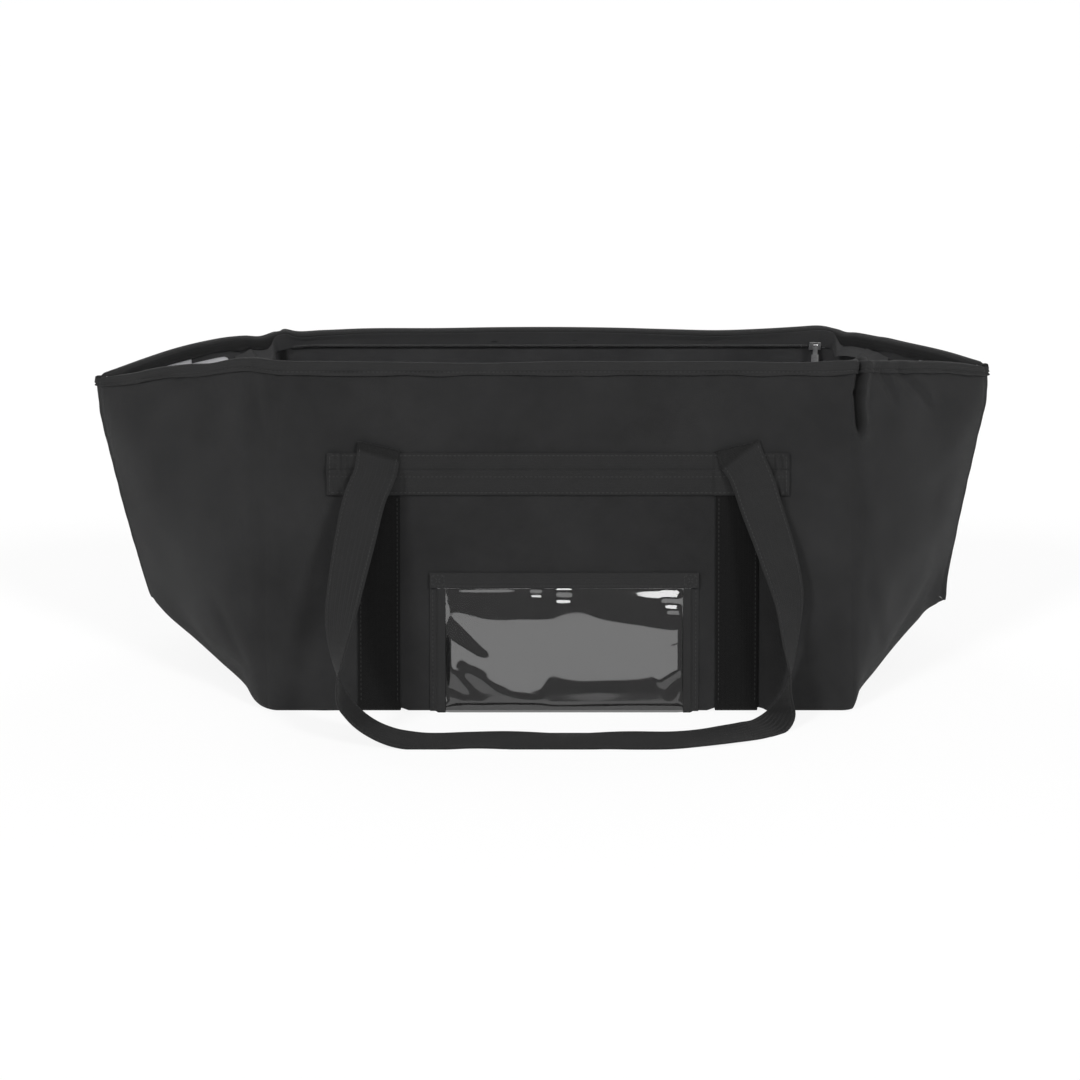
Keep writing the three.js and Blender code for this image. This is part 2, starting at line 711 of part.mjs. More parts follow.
// A side binding is stitched down along its outer edge, and its flap lies over the window's edge.
function pocketSideBinding(side) {
  const edge = side < 0 ? pocketLeft : pocketRight;
  const span = (width) => (side < 0 ? [edge, edge + width] : [edge - width, edge]);
  const [footLow, footHigh] = span(pocketStitchWidth);
  const [flapLow, flapHigh] = span(pocketBindingWidth);
  const foot = toSolid(box([footLow, pocketFoot, clearance], [footHigh, pocketSideTop, bindingOver]));
  const flap = toSolid(box([flapLow, pocketFoot, bindingUnder], [flapHigh, pocketSideTop, bindingOver]));
  return toGeometry(foot.add(flap));
}

// The top binding is folded over the window's free edge.
function pocketTopBinding() {
  const low = pocketHeight - pocketBindingWidth;
  const whole = box([pocketLeft, low, clearance], [pocketRight, pocketHeight, bindingOver]);
  const groove = box(
    [pocketLeft - overrun, low - overrun, pocketSpace - clearance],
    [pocketRight + overrun, pocketHeight - pocketFoldDepth, bindingUnder],
  );
  return toGeometry(toSolid(whole).subtract(toSolid(groove)));
}

addPiece("pocket_window", pocketWindow(), clearVinyl, panels.front);
addPiece("pocket_binding_left", pocketSideBinding(-1), bindingCloth, panels.front);
addPiece("pocket_binding_right", pocketSideBinding(1), bindingCloth, panels.front);
addPiece("pocket_binding_top", pocketTopBinding(), bindingCloth, panels.front);

export default bag;
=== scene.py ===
"""Looks of an insulated food carrier bag that stands open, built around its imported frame. Metres."""
import math

import bmesh
import bpy
import numpy as np
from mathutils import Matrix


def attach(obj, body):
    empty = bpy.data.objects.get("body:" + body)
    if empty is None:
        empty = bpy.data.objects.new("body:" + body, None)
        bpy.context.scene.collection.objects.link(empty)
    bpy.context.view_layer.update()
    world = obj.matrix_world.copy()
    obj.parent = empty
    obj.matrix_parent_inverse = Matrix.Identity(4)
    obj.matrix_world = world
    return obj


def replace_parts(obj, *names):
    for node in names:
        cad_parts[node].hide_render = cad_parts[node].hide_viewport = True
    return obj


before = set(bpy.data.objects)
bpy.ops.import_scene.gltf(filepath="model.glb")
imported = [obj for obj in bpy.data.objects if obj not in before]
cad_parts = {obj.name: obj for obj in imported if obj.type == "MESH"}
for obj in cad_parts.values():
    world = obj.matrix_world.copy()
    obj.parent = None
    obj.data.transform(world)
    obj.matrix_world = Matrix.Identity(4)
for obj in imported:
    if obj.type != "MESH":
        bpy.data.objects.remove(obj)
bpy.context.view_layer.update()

# Body
LENGTH = 0.559
DEPTH = 0.350
HEIGHT = 0.330
LEAN = math.radians(15.3)
TIPS = {-1: (-0.4555, 0.0, 0.285), 1: (0.424, 0.0, 0.296)}
APEXES = {-1: (-0.4115, 0.0, 0.055), 1: (0.3995, 0.0, 0.052)}
GUSSET = 0.210
HALF = LENGTH / 2
SIN, COS, TAN = math.sin(LEAN), math.cos(LEAN), math.tan(LEAN)
RIM_Y = DEPTH / 2 - HEIGHT * SIN
RIM_Z = HEIGHT * COS
STEP = 0.0004
SWELL = 0.0020
CORNER_FOOT = 0.012
CORNER_RIM = 0.028
POWER = 2.2
NEARLY = 1e-4
FOLD_PUSH = 0.92
EDGE_SHARE = 0.035
CORNER_BLEND = 0.030

# Wall layers, as depths below the outer face
SHELL = (0.0, 0.001)
FOAM = (0.0013, 0.0063)
LINER = (0.0066, 0.0071)
FACING = (0.0073, 0.0078)
SOFT_FROM = 0.0015
SOFT_OVER = 0.0045
FOAM_SHORT = 0.002
SEAM_GAP = 0.00015
DEEP_CREASE = 0.0035
WALL_TOP = HEIGHT - 0.0013
TUCK = 0.003
TUCK_REACH = 0.012
CHANNEL = 0.0021

# Binding, facing and zip at the mouth
BINDING_LOW = HEIGHT - 0.012
BINDING_STITCHED = HEIGHT - 0.0088
BINDING_OUT = -0.0013
BINDING_IN = 0.0089
BINDING_THICK = 0.0010
BINDING_SWELL = 0.0004
FACING_LOW = HEIGHT - 0.046
FACING_ENDS = (-0.388, 0.405)
FACING_CUTS = (-0.338, 0.372)
CUT_OVER = 0.012
TAIL_LOW = 0.3115
TAPE_DEPTH = 0.0095
COIL_TOP = 0.31475
COIL_LOW = 0.31125
COIL_REACH = HALF - 0.008
TAPE_TAILS = (0.062, 0.088)
TAPE_TOP = 0.328
TAPE_HALF_THICK = 0.0003
TAIL_TURN = math.radians(78)

# Webbing
WEB_WIDTH = 0.040
WEB_THICK = 0.0016
WEB_EDGE = 0.0004
LIFT = 0.0003
STRAP_OFFSET = 0.169
BAND_HALF = 0.218
BAND_TOP = 0.245
BAND_ROWS = (0.0375, 0.0225, 0.0025)
BAND_GROOVE = 0.016
STRAP_TURN = 0.006
EDGE_STITCH = 0.86
FOLD_HEIGHT = 0.2495
FOLD_TILT = 0.0045
HEAD_WIDE, HEAD_HIGH = 0.032, 0.024
WEB_SHARES = np.array([-1, -0.97, -0.85, -0.6, -0.3, 0, 0.3, 0.6, 0.85, 0.97, 1])
HANDLE_REACH = 0.135

# Clear pocket
POCKET_LEFT = -0.121
POCKET_RIGHT = 0.133
POCKET_TOP = 0.132
POCKET_EDGE = 0.0146
POCKET_STITCHED = 0.0065


# Small array helpers
def unit(vectors):
    """Vectors divided by their lengths."""
    return vectors / np.linalg.norm(vectors, axis=-1, keepdims=True)


def smooth(x):
    """A smooth step from 0 at x = 0 to 1 at x = 1."""
    t = np.clip(x, 0.0, 1.0)
    return t * t * (3.0 - 2.0 * t)


def ramp(x, radius):
    """Zero below -radius, x above radius, and a parabola between the two."""
    near = np.clip(x + radius, 0.0, 2.0 * radius)
    return np.where(x > radius, x, near * near / (4.0 * radius))


def hump(x, width):
    """A bell of height 1 at x = 0 that has fallen to 1/e at x = width."""
    return np.exp(-((x / width) ** 2))


def runs(*stops):
    """Values from stop to stop; each later stop is a pair of its value and the steps that reach it."""
    values = [np.array([stops[0]])]
    for value, steps in stops[1:]:
        values.append(np.linspace(values[-1][-1], value, steps + 1)[1:])
    return np.concatenate(values)


def run_length(points):
    """Length along a line of points, from its first one."""
    return np.concatenate([[0], np.cumsum(np.linalg.norm(np.diff(points, axis=0), axis=1))])


def spline(knots, values, places):
    """Cubic Hermite curve through values at knots, with slopes from their neighbours."""
    slopes = np.gradient(values, knots, axis=0)
    index = np.clip(np.searchsorted(knots, places, side="right") - 1, 0, len(knots) - 2)
    width = (knots[index + 1] - knots[index])[:, None]
    t = ((places - knots[index]) / width[:, 0])[:, None]
    low, high = values[index], values[index + 1]
    start, end = slopes[index] * width, slopes[index + 1] * width
    return (
        (2 * t**3 - 3 * t**2 + 1) * low + (t**3 - 2 * t**2 + t) * start
        + (3 * t**2 - 2 * t**3) * high + (t**3 - t**2) * end
    )


def curve(places, points):
    """Smooth curve through points, which are pairs of a place and a value, and level beyond its two ends."""
    knots, values = np.array(points).T
    places = np.clip(np.asarray(places, float), knots[0], knots[-1])
    return spline(knots, values[:, None], places.ravel()).reshape(places.shape)


def strap_share(a, margin):
    """One over a strap and zero beside it, over a slope of 3 mm."""
    over = np.abs(np.abs(a) - STRAP_OFFSET)
    return smooth((WEB_WIDTH / 2 + margin + 0.003 - over) / 0.003)


# How far outside its straight line each side's seam lies, by shares from foot to tip, and the foot's edge,
# by shares from corner to seam. The foot's shift starts this far before the corner and fades over this share
# of the wall's height.
FOOT_START = 0.05
FOOT_SHARE = 0.16
SEAM_SHIFT = {
    -1: [(0.0, 0.0028), (0.15, 0.0044), (0.40, 0.0062), (0.62, 0.0062), (0.86, 0.0050), (1.0, 0.0)],
    1: [(0.0, -0.0016), (0.08, -0.0038), (0.25, -0.0029), (0.45, -0.0008), (0.70, 0.0027), (0.90, 0.0046),
        (1.0, 0.0)],
}
FOOT_SHIFT = {
    -1: [(0.0, -0.0030), (0.08, -0.0010), (0.21, -0.0060), (0.41, -0.0038), (0.62, -0.0006), (0.83, 0.0040),
         (1.0, 0.0028)],
    1: [(0.0, 0.0015), (0.06, -0.0030), (0.14, -0.0082), (0.35, -0.0110), (0.60, -0.0128), (0.80, -0.0122),
        (0.93, -0.0105), (1.0, -0.0016)],
}


def side_shift(side, x, v):
    """Shift along the wall's length: the seam's share grows with the square of the way to it, and the rest of
    the foot's fades up the wall."""
    w = np.clip(x / GUSSET, 0.0, 1.0)
    seam = curve(v, SEAM_SHIFT[side]) * w**2
    foot = curve(w, FOOT_SHIFT[side]) - SEAM_SHIFT[side][0][1] * w**2
    return side * (seam + foot * smooth(1 + x / FOOT_START) * hump(v, FOOT_SHARE))


# Form of the walls. a runs along a wall from tip to tip and is zero in the middle; s runs up its slope.
def form(a, s):
    """Front wall before it sags: the leaning panel, carried on past each corner line towards the gusset's
    seam by a ramp times the change of direction there, and pushed out along the fold from foot to tip. Low is
    the smooth lesser of two shares, from a sum of their powers."""
    a, s = np.broadcast_arrays(np.asarray(a, float), np.asarray(s, float))
    v = s / HEIGHT
    place = np.stack([a, -DEPTH / 2 + s * SIN, s * COS], -1)
    for side in (-1, 1):
        tip, apex = np.array(TIPS[side]), np.array(APEXES[side])
        foot = np.array([side * HALF, -DEPTH / 2, 0.0])
        rim = np.array([side * HALF, -RIM_Y, RIM_Z])
        x = side * a - HALF
        corner = foot + v[..., None] * (rim - foot)
        seam = apex + v[..., None] * (tip - apex)
        turned = (seam - corner) / GUSSET - np.array([side, 0.0, 0.0])
        radius = CORNER_FOOT + (CORNER_RIM - CORNER_FOOT) * smooth(v)
        place = place + ramp(x, radius)[..., None] * turned
        w = np.clip(x / GUSSET, 0.0, 1.0)
        upper, lower = w * (1 - v), v * (1 - w)
        low = (np.clip(upper, NEARLY, 1) ** -POWER + np.clip(lower, NEARLY, 1) ** -POWER) ** (-1 / POWER)
        low = np.where((upper <= NEARLY) | (lower <= NEARLY), 0.0, low)
        place = place + (FOLD_PUSH * low)[..., None] * (foot + tip - rim - apex)
        place[..., 0] += side_shift(side, x, v)
    return place


def inward(surface, a, s):
    """Unit normal into the bag, from central differences along the wall and up it."""
    along = surface(a + STEP, s) - surface(a - STEP, s)
    up = surface(a, s + STEP) - surface(a, s - STEP)
    return unit(np.cross(up, along))


def base_inward(a):
    """Normal of the base into the bag: up between the corners, turned towards the middle at its two ends."""
    a = np.asarray(a, float)
    normal = np.zeros(a.shape + (3,))
    normal[..., 2] = 1.0
    for side in (-1, 1):
        rise, reach = APEXES[side][2], abs(APEXES[side][0]) - HALF
        end = np.array([-side * rise, 0.0, reach]) / math.hypot(rise, reach)
        share = smooth((side * a - HALF + 0.02) / 0.04)[..., None]
        normal = unit(normal * (1 - share) + end * share)
    return normal


def mitred(normal, a, s):
    """The way into the wall that keeps its layers whole where sheets meet: the normal in the middle, the half
    angle with the mirrored wall at the side seams, and the half angle with the base at the foot."""
    square = (normal[..., 0:1] ** 2 + normal[..., 2:3] ** 2)
    across = normal * np.array([1.0, 0.0, 1.0]) / square
    side = smooth((np.abs(a) - HALF - GUSSET + 0.035) / 0.035)[..., None]
    way = normal * (1 - side) + across * side
    below = base_inward(np.clip(a, -HALF - GUSSET, HALF + GUSSET))
    half = (normal + below) / (1.0 + (normal * below).sum(-1, keepdims=True))
    foot = smooth(1.0 - np.asarray(s) / 0.03)[..., None]
    return way * (1 - foot) + half * foot


LIP = 0.45
CALM_TOP, CALM_OVER, CALM_FOOT = 0.945, 0.09, 0.07
PANEL_RIPPLE, PANEL_WAVE = 0.0010, 0.145
GUSSET_RIPPLE, GUSSET_WAVE = 0.0014, 0.090
GOLDEN_ANGLE = 2.399963
GOLDEN_RATIO = 0.618


def calm_share(s):
    """One over most of a wall's height, and zero at its foot and near its rim."""
    v = s / HEIGHT
    return smooth((CALM_TOP - v) / CALM_OVER) * smooth(v / CALM_FOOT)


def crease(a, s, start, end, deep, wide, lip=LIP):
    """A fold in the cloth: a valley along the line from start to end that fades at both ends, with a raised
    lip on its far side. Deep and wide are lengths."""
    line = np.array(end) - np.array(start)
    size = np.hypot(*line)
    t = ((a - start[0]) * line[0] + (s - start[1]) * line[1]) / size**2
    off = ((a - start[0]) * -line[1] + (s - start[1]) * line[0]) / size
    fade = smooth(t / 0.18 + 0.6) * smooth((1.25 - t) / 0.45)
    return fade * deep * (hump(off, wide) - lip * hump(off - 2.1 * wide, 1.6 * wide))


def ripple(a, s, seed, length):
    """A calm random surface of unit size: nine sine waves of about one length. The golden angle and ratio
    spread their directions and lengths, and the seed turns them."""
    order = np.arange(9)
    turn = order * GOLDEN_ANGLE + seed
    wave = 2 * math.pi / length * (0.75 + 0.5 * ((order * GOLDEN_RATIO + seed * 0.37) % 1.0))
    total = np.zeros(np.broadcast(a, s).shape)
    for angle, number, phase in zip(turn, wave, order * 1.7 + seed * 5.1):
        total += np.sin(number * (a * math.cos(angle) + s * math.sin(angle)) + phase)
    return total / 3.0


# Places on the front wall of its creases: start, end, depth and width
FRONT_CREASES = [
    ((0.2935, 0.331), (0.2862, 0.302), 0.0080, 0.0036),
    ((0.2860, 0.302), (0.2905, 0.264), 0.0072, 0.0036),
    ((0.318, 0.322), (0.342, 0.292), 0.0022, 0.0050),
    ((0.345, 0.324), (0.392, 0.288), 0.0030, 0.0060),
    ((0.300, 0.120), (0.345, 0.030), 0.0016, 0.0100),
    ((-0.292, 0.328), (-0.283, 0.262), 0.0016, 0.0065),
    ((-0.262, 0.320), (-0.268, 0.250), 0.0010, 0.0060),
    ((-0.205, 0.080), (-0.235, 0.015), 0.0016, 0.0070),
    ((0.225, 0.070), (0.262, 0.018), 0.0018, 0.0080),
    ((-0.430, 0.322), (-0.350, 0.312), 0.0018, 0.0050),
    ((-0.300, 0.030), (-0.345, 0.100), 0.0012, 0.0090),
]
BACK_CREASES = [
    ((-0.286, 0.330), (-0.282, 0.262), 0.0040, 0.0030),
    ((-0.330, 0.322), (-0.372, 0.284), 0.0026, 0.0060),
    ((0.284, 0.328), (0.292, 0.270), 0.0022, 0.0055),
    ((0.345, 0.322), (0.385, 0.296), 0.0024, 0.0060),
    ((-0.300, 0.110), (-0.340, 0.030), 0.0016, 0.0100),
    ((0.225, 0.075), (0.262, 0.018), 0.0018, 0.0080),
]


class Wall:
    """One of the two tall walls: the front one, or the back one, which is the front one mirrored."""

    def __init__(self, name, mirror, creases, seed, rise):
        self.name = name
        self.mirror = mirror
        self.creases = creases
        self.seed = seed
        self.rise = rise

    def wrinkles(self, a, s, soft=0.0):
        """Depth of the soft ripples and the creases. Soft runs from 0 on the cloth to 1 on the lining, where
        the creases are wider and shallower."""
        calm = calm_share(s)
        gusset = smooth((np.abs(a) - HALF) / 0.05) * smooth((HALF + GUSSET - np.abs(a)) / 0.07)
        seam = smooth((HALF + GUSSET - np.abs(a)) / 0.05)
        depth = PANEL_RIPPLE * ripple(a, s, self.seed, PANEL_WAVE) * calm * seam
        depth = depth + GUSSET_RIPPLE * ripple(a, s, self.seed + 2.0, GUSSET_WAVE) * gusset * calm
        for start, end, deep, wide in self.creases:
            shallow, lip = deep * (1 - 0.45 * soft), LIP * (1 - soft)
            depth = depth + crease(a, s, start, end, shallow, wide + 0.005 * soft, lip)
        return depth

    def crease_shade(self, a, s):
        """How far into a deep crease a place lies, which the cloth turns into painted shade: one on its line,
        and zero beside it.
        """
        share = np.zeros(np.broadcast(a, s).shape)
        for start, end, deep, wide in self.creases:
            if deep > DEEP_CREASE:
                share += crease(a, s, start, end, 1.0, 1.15 * wide, 0.0)
        return np.clip(share, 0, 1)

    def tuck(self, a, s):
        """The cloth's turn towards its foot seam, deepest under the straps."""
        return TUCK * (0.35 + 0.65 * strap_share(a, 0.004)) * np.clip(1 - s / TUCK_REACH, 0, 1) ** 2

    def sag(self, a, s, soft):
        """How far the cloth lies inside the form: swell between the seams and wrinkles, which the straps'
        heads press flat, the tuck at the foot and small puckers along the side seams."""
        a, s = np.broadcast_arrays(np.asarray(a, float), np.asarray(s, float))
        panel = smooth((HALF - np.abs(a)) / 0.05)
        depth = -SWELL * panel * np.sin(math.pi * np.clip(s / HEIGHT, 0, 1)) * calm_share(s)
        heads = hump(np.abs(a) - STRAP_OFFSET, HEAD_WIDE) * hump(s - FOLD_HEIGHT, HEAD_HIGH)
        depth = (depth + self.wrinkles(a, s, soft)) * (1 - heads) + self.tuck(a, s)
        seam = np.clip(HALF + GUSSET - np.abs(a), 0, 1)
        depth = depth + 0.00012 * ripple(a * 0, s, self.seed + 6.0, 0.030) * hump(seam, 0.010)
        return depth + 0.0010 * hump(seam - 0.004, 0.003)

    def outer(self, a, s, soft=0.0):
        """Outer face of the cloth, or of a softer layer before its depth is added, on the front wall's side.
        The rim's rise lifts the panel at its top edge alone, and the gussets by a share of their height."""
        a, s = np.broadcast_arrays(np.asarray(a, float), np.asarray(s, float))
        top = smooth((s / HEIGHT - 1 + EDGE_SHARE) / EDGE_SHARE)
        gusset = smooth((np.abs(a) - HALF + CORNER_BLEND) / (2 * CORNER_BLEND))
        swell = curve(a, self.rise) * (top + (smooth(s / HEIGHT) - top) * gusset)
        place = form(a, s) + swell[..., None] * np.array([0.0, -0.25, 1.0])
        normal = inward(form, a, s)
        return place + self.sag(a, s, soft)[..., None] * mitred(normal, a, s)

    def at(self, a, s, depth=0.0):
        """A point at a depth below the outer face; less than zero is outside."""
        a, s, depth = np.broadcast_arrays(*(np.asarray(v, float) for v in (a, s, depth)))
        soft = smooth((depth - SOFT_FROM) / SOFT_OVER)

        def layer(across, up):
            return self.outer(across, up, soft)

        way = mitred(inward(layer, a, s), a, s)
        place = layer(a, s) + depth[..., None] * way
        place[..., 1] = np.minimum(place[..., 1], -SEAM_GAP)
        place[..., 2] = np.maximum(place[..., 2], 0.0)
        return place * np.array([1.0, self.mirror, 1.0])

    def out(self, a, s):
        """Unit normal out of the wall."""
        return -inward(self.outer, a, s) * np.array([1.0, self.mirror, 1.0])


# How far each rim lies above its level line, along the wall
FRONT_RISE = [
    (-0.4895, 0.0), (-0.450, 0.0010), (-0.400, 0.0050), (-0.370, 0.0055), (-0.345, 0.0045), (-0.310, 0.0072),
    (-0.285, 0.0060), (-0.265, 0.0032), (-0.215, 0.0020), (-0.150, 0.0012), (-0.070, 0.0002), (0.0, 0.0018),
    (0.080, 0.0016), (0.170, 0.0018), (0.228, 0.0008), (0.268, 0.0027), (0.300, 0.0033), (0.350, 0.0036),
    (0.400, 0.0043), (0.450, 0.0030), (0.4895, 0.0),
]
BACK_RISE = [
    (-0.4895, 0.0015), (-0.470, 0.0035), (-0.440, 0.0061), (-0.400, 0.0081), (-0.370, 0.0074),
    (-0.342, 0.0051), (-0.324, 0.0021), (-0.306, -0.0024), (-0.290, -0.0010), (-0.279, -0.0006),
    (-0.266, -0.0034), (-0.240, -0.0028), (-0.200, -0.0012), (-0.120, -0.0008), (-0.060, 0.0001),
    (0.0, 0.0003), (0.060, -0.0004), (0.120, -0.0020), (0.165, -0.0029), (0.210, -0.0014),
    (0.250, 0.0009), (0.272, 0.0023), (0.290, 0.0008), (0.300, -0.0007), (0.315, 0.0013),
    (0.342, 0.0028), (0.380, 0.0042), (0.440, 0.0052), (0.4895, 0.0030),
]
front = Wall("front", 1.0, FRONT_CREASES, 1.3, FRONT_RISE)
back = Wall("back", -1.0, BACK_CREASES, 4.1, BACK_RISE)


# Meshes
def grid_faces(rows, columns, start=0, flip=False, around=False):
    """Quads of a grid whose points are stored row by row; around joins the last row to the first."""
    last = rows if around else rows - 1
    r, c = np.meshgrid(np.arange(last), np.arange(columns - 1), indexing="ij")
    up = (r + 1) % rows
    quads = np.stack([r * columns + c, r * columns + c + 1, up * columns + c + 1, up * columns + c], -1)
    quads = quads.reshape(-1, 4) + start
    return quads[:, ::-1] if flip else quads


def add_piece(name, points, faces, material, body, uv=None, sharp=40):
    """A smooth mesh piece that rides on a body. Faces is a list of arrays of quads or triangles."""
    mesh = bpy.data.meshes.new(name)
    mesh.from_pydata(points.reshape(-1, 3).tolist(), [], [f for group in faces for f in group.tolist()])
    mesh.polygons.foreach_set("use_smooth", np.ones(len(mesh.polygons), bool))
    if uv is not None:
        layer = mesh.uv_layers.new(name="cloth")
        corners = np.empty(len(mesh.loops), np.int32)
        mesh.loops.foreach_get("vertex_index", corners)
        layer.data.foreach_set("uv", uv.reshape(-1, 2)[corners].astype(np.float32).ravel())
    mesh.set_sharp_from_angle(angle=math.radians(sharp))
    mesh.materials.append(material)
    piece = bpy.data.objects.new(name, mesh)
    bpy.context.scene.collection.objects.link(piece)
    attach(piece, body)
    return piece


def add_sheet(name, outer, inner, uv, material, body, slot, flip=False):
    """A closed sheet between an outer and an inner grid of the same shape, with its four edges walled."""
    rows, columns = outer.shape[:2]
    count = rows * columns
    points = np.concatenate([outer.reshape(-1, 3), inner.reshape(-1, 3)])
    faces = [grid_faces(rows, columns, 0, flip), grid_faces(rows, columns, count, not flip)]
    index = np.arange(count).reshape(rows, columns)
    edge = np.concatenate([index[0, :], index[1:, -1], index[-1, -2::-1], index[-2:0:-1, 0]])
    after = np.roll(edge, -1)
    wall = np.stack([after, edge, edge + count, after + count], -1)
    faces.append(wall[:, ::-1] if flip else wall)
    maps = np.concatenate([uv.reshape(-1, 2), uv.reshape(-1, 2)])
    return add_piece(name, points, faces, material, body, maps)


def add_tube(name, rings, uv, material, body, flip=False):
    """A closed form from rings of points, one row a ring's place round the section, capped at both ends."""
    around, along = rings.shape[:2]
    faces = [grid_faces(around, along, 0, flip, around=True)]
    index = np.arange(around * along).reshape(around, along)
    half = around // 2
    for column, turned in ((0, flip), (along - 1, not flip)):
        loop = index[:, column]
        low, high = loop[:half], loop[half:][::-1]
        cap = np.stack([low[:-1], low[1:], high[1:], high[:-1]], -1)
        faces.append(cap[:, ::-1] if turned else cap)
    return add_piece(name, rings.reshape(-1, 3), faces, material, body, uv)


# Shader maths
class Shade:
    """A socket of a material's node tree, with Python's operators as Math nodes."""

    def __init__(self, tree, socket):
        self.tree = tree
        self.socket = socket

    def math(self, operation, *others):
        return add_node(self.tree, "ShaderNodeMath", {"operation": operation}, [self, *others])

    def __add__(self, other):
        return self.math("ADD", other)

    def __radd__(self, other):
        return self.math("ADD", other)

    def __sub__(self, other):
        return self.math("SUBTRACT", other)

    def __rsub__(self, other):
        return add_node(self.tree, "ShaderNodeMath", {"operation": "SUBTRACT"}, [other, self])

    def __mul__(self, other):
        return self.math("MULTIPLY", other)

    def __rmul__(self, other):
        return self.math("MULTIPLY", other)

    def sine(self):
        return self.math("SINE")

    def clamp(self, low, high):
        return add_node(self.tree, "ShaderNodeClamp", {}, [self, low, high])


def add_node(tree, kind, settings, values, output=0):
    """A node of a kind with its settings, then the values or links of its sockets, by place or by name."""
    node = tree.nodes.new(kind)
    for key, value in settings.items():
        if key == "stops":
            ramp_of = node.color_ramp
            while len(ramp_of.elements) < len(value):
                ramp_of.elements.new(0.5)
            for element, (place, colour) in zip(ramp_of.elements, value):
                element.position = place
                element.color = colour
        else:
            setattr(node, key, value)
    pairs = values.items() if isinstance(values, dict) else enumerate(values)
    for key, value in pairs:
        if isinstance(value, Shade):
            tree.links.new(value.socket, node.inputs[key])
        else:
            node.inputs[key].default_value = value
    return Shade(tree, node.outputs[output])


class Finish:
    """A material with one Principled shader, and the node calls that its patterns need."""

    def __init__(self, name, **fixed):
        self.material = bpy.data.materials.new(name)
        self.material.use_nodes = True
        self.tree = self.material.node_tree
        self.shader = self.tree.nodes["Principled BSDF"]
        for key, value in fixed.items():
            self.shader.inputs[key.replace("_", " ")].default_value = value

    def node(self, kind, settings, values, output=0):
        return add_node(self.tree, kind, settings, values, output)

    def cloth_map(self):
        """The piece's own map: metres across and along the cloth."""
        place = self.node("ShaderNodeUVMap", {"uv_map": "cloth"}, {})
        across = self.node("ShaderNodeSeparateXYZ", {}, [place])
        return place, across, Shade(self.tree, across.socket.node.outputs[1])

    def noise(self, place, scale, detail=3.0, rough=0.55):
        values = {"Vector": place, "Scale": scale, "Detail": detail, "Roughness": rough}
        return self.node("ShaderNodeTexNoise", {}, values)

    def blend(self, share, low, high):
        """A colour from low to high by a share."""
        return self.node(
            "ShaderNodeMix", {"data_type": "RGBA"}, {0: share, 6: (*low, 1.0), 7: (*high, 1.0)}, 2
        )

    def paint_shade(self, tint, share):
        """A colour turned to black by a share, for painted shade."""
        black = (*grey(0.0008), 1.0)
        return self.node("ShaderNodeMix", {"data_type": "RGBA"}, {0: share, 6: tint, 7: black}, 2)

    def paint(self, tint):
        self.tree.links.new(tint.socket, self.shader.inputs["Base Color"])

    def colour(self, share, low, high):
        self.paint(self.blend(share, low, high))

    def rough(self, value):
        self.tree.links.new(value.socket, self.shader.inputs["Roughness"])

    def bump(self, height, distance, strength=1.0):
        values = {"Strength": strength, "Distance": distance, "Height": height}
        bumped = self.node("ShaderNodeBump", {}, values)
        self.tree.links.new(bumped.socket, self.shader.inputs["Normal"])


def grey(level, cool=1.0):
    """A grey; above 1, cool raises its blue."""
    return (level, level, level * cool)


def woven(name, dark, light, thread, seed):
    """Plain weave: threads over and under each other, with slubs and a slow change of tone. Along deep
    creases it is painted nearly black, as painted shade.
    """
    made = Finish(name, Roughness=0.9, Specular_IOR_Level=0.22, Sheen_Weight=0.06, Sheen_Roughness=0.5)
    place, across, along = made.cloth_map()
    number = 2 * math.pi / thread
    over = (across * number).sine() * (along * number).sine()
    slub = made.noise(place, 900.0 + seed, 2.0)
    tone = made.noise(place, 9.0 + seed, 4.0, 0.62)
    fine = made.noise(place, 160.0, 3.0, 0.7)
    share = (tone * 1.9 + fine * 0.5 + over * 0.10 - 0.72).clamp(0.0, 1.0)
    tint = made.blend(share, grey(dark, 1.04), grey(light, 1.02))
    # Painted shade: the fold attribute, how far a point lies in a deep crease, turns the cloth nearly black
    # there.
    fold = made.node("ShaderNodeAttribute", {"attribute_name": "fold"}, {}, 2)
    made.paint(made.paint_shade(tint, (fold * 1.3).clamp(0.0, 0.88)))
    made.rough(0.80 + fine * 0.18)
    made.bump(over * 0.6 + slub * 0.5 + fine * 0.6, 0.00022)
    return made.material


def ribbed(name, dark, light, rib, column, seed, relief=0.00028, gloss=0.25, painted_shade_from=None):
    """Webbing: slanted ribs in narrow columns that lean left and right by turns, as its heavy threads lie.
    From a given length on either side of its middle it darkens to black over 4 mm, as painted shade where the
    strip folds over at its ends."""
    made = Finish(name, Roughness=0.75, Specular_IOR_Level=gloss, Sheen_Weight=0.05, Sheen_Roughness=0.5)
    place, across, along = made.cloth_map()
    lean = across.math("PINGPONG", column)
    ribs = ((along + lean * 0.8) * (2 * math.pi / rib)).sine()
    swell = (lean * (math.pi / column)).sine()
    tone = made.noise(place, 26.0 + seed, 3.0)
    fine = made.noise(place, 420.0, 2.0, 0.7)
    share = (tone * 0.6 + fine * 0.5 + ribs * 0.10 + swell * 0.08 - 0.14).clamp(0.0, 1.0)
    tint = made.blend(share, grey(dark, 1.03), grey(light, 1.02))
    # Painted shade: black towards both ends of the strip, for the shade under its folds.
    if painted_shade_from:
        tint = made.paint_shade(tint, ((along.math("ABSOLUTE") - painted_shade_from) * 250.0).clamp(0.0, 1.0))
    made.paint(tint)
    made.rough(0.66 + fine * 0.2)
    made.bump(ribs * swell * 0.7 + swell * 0.4 + fine * 0.4, relief)
    return made.material


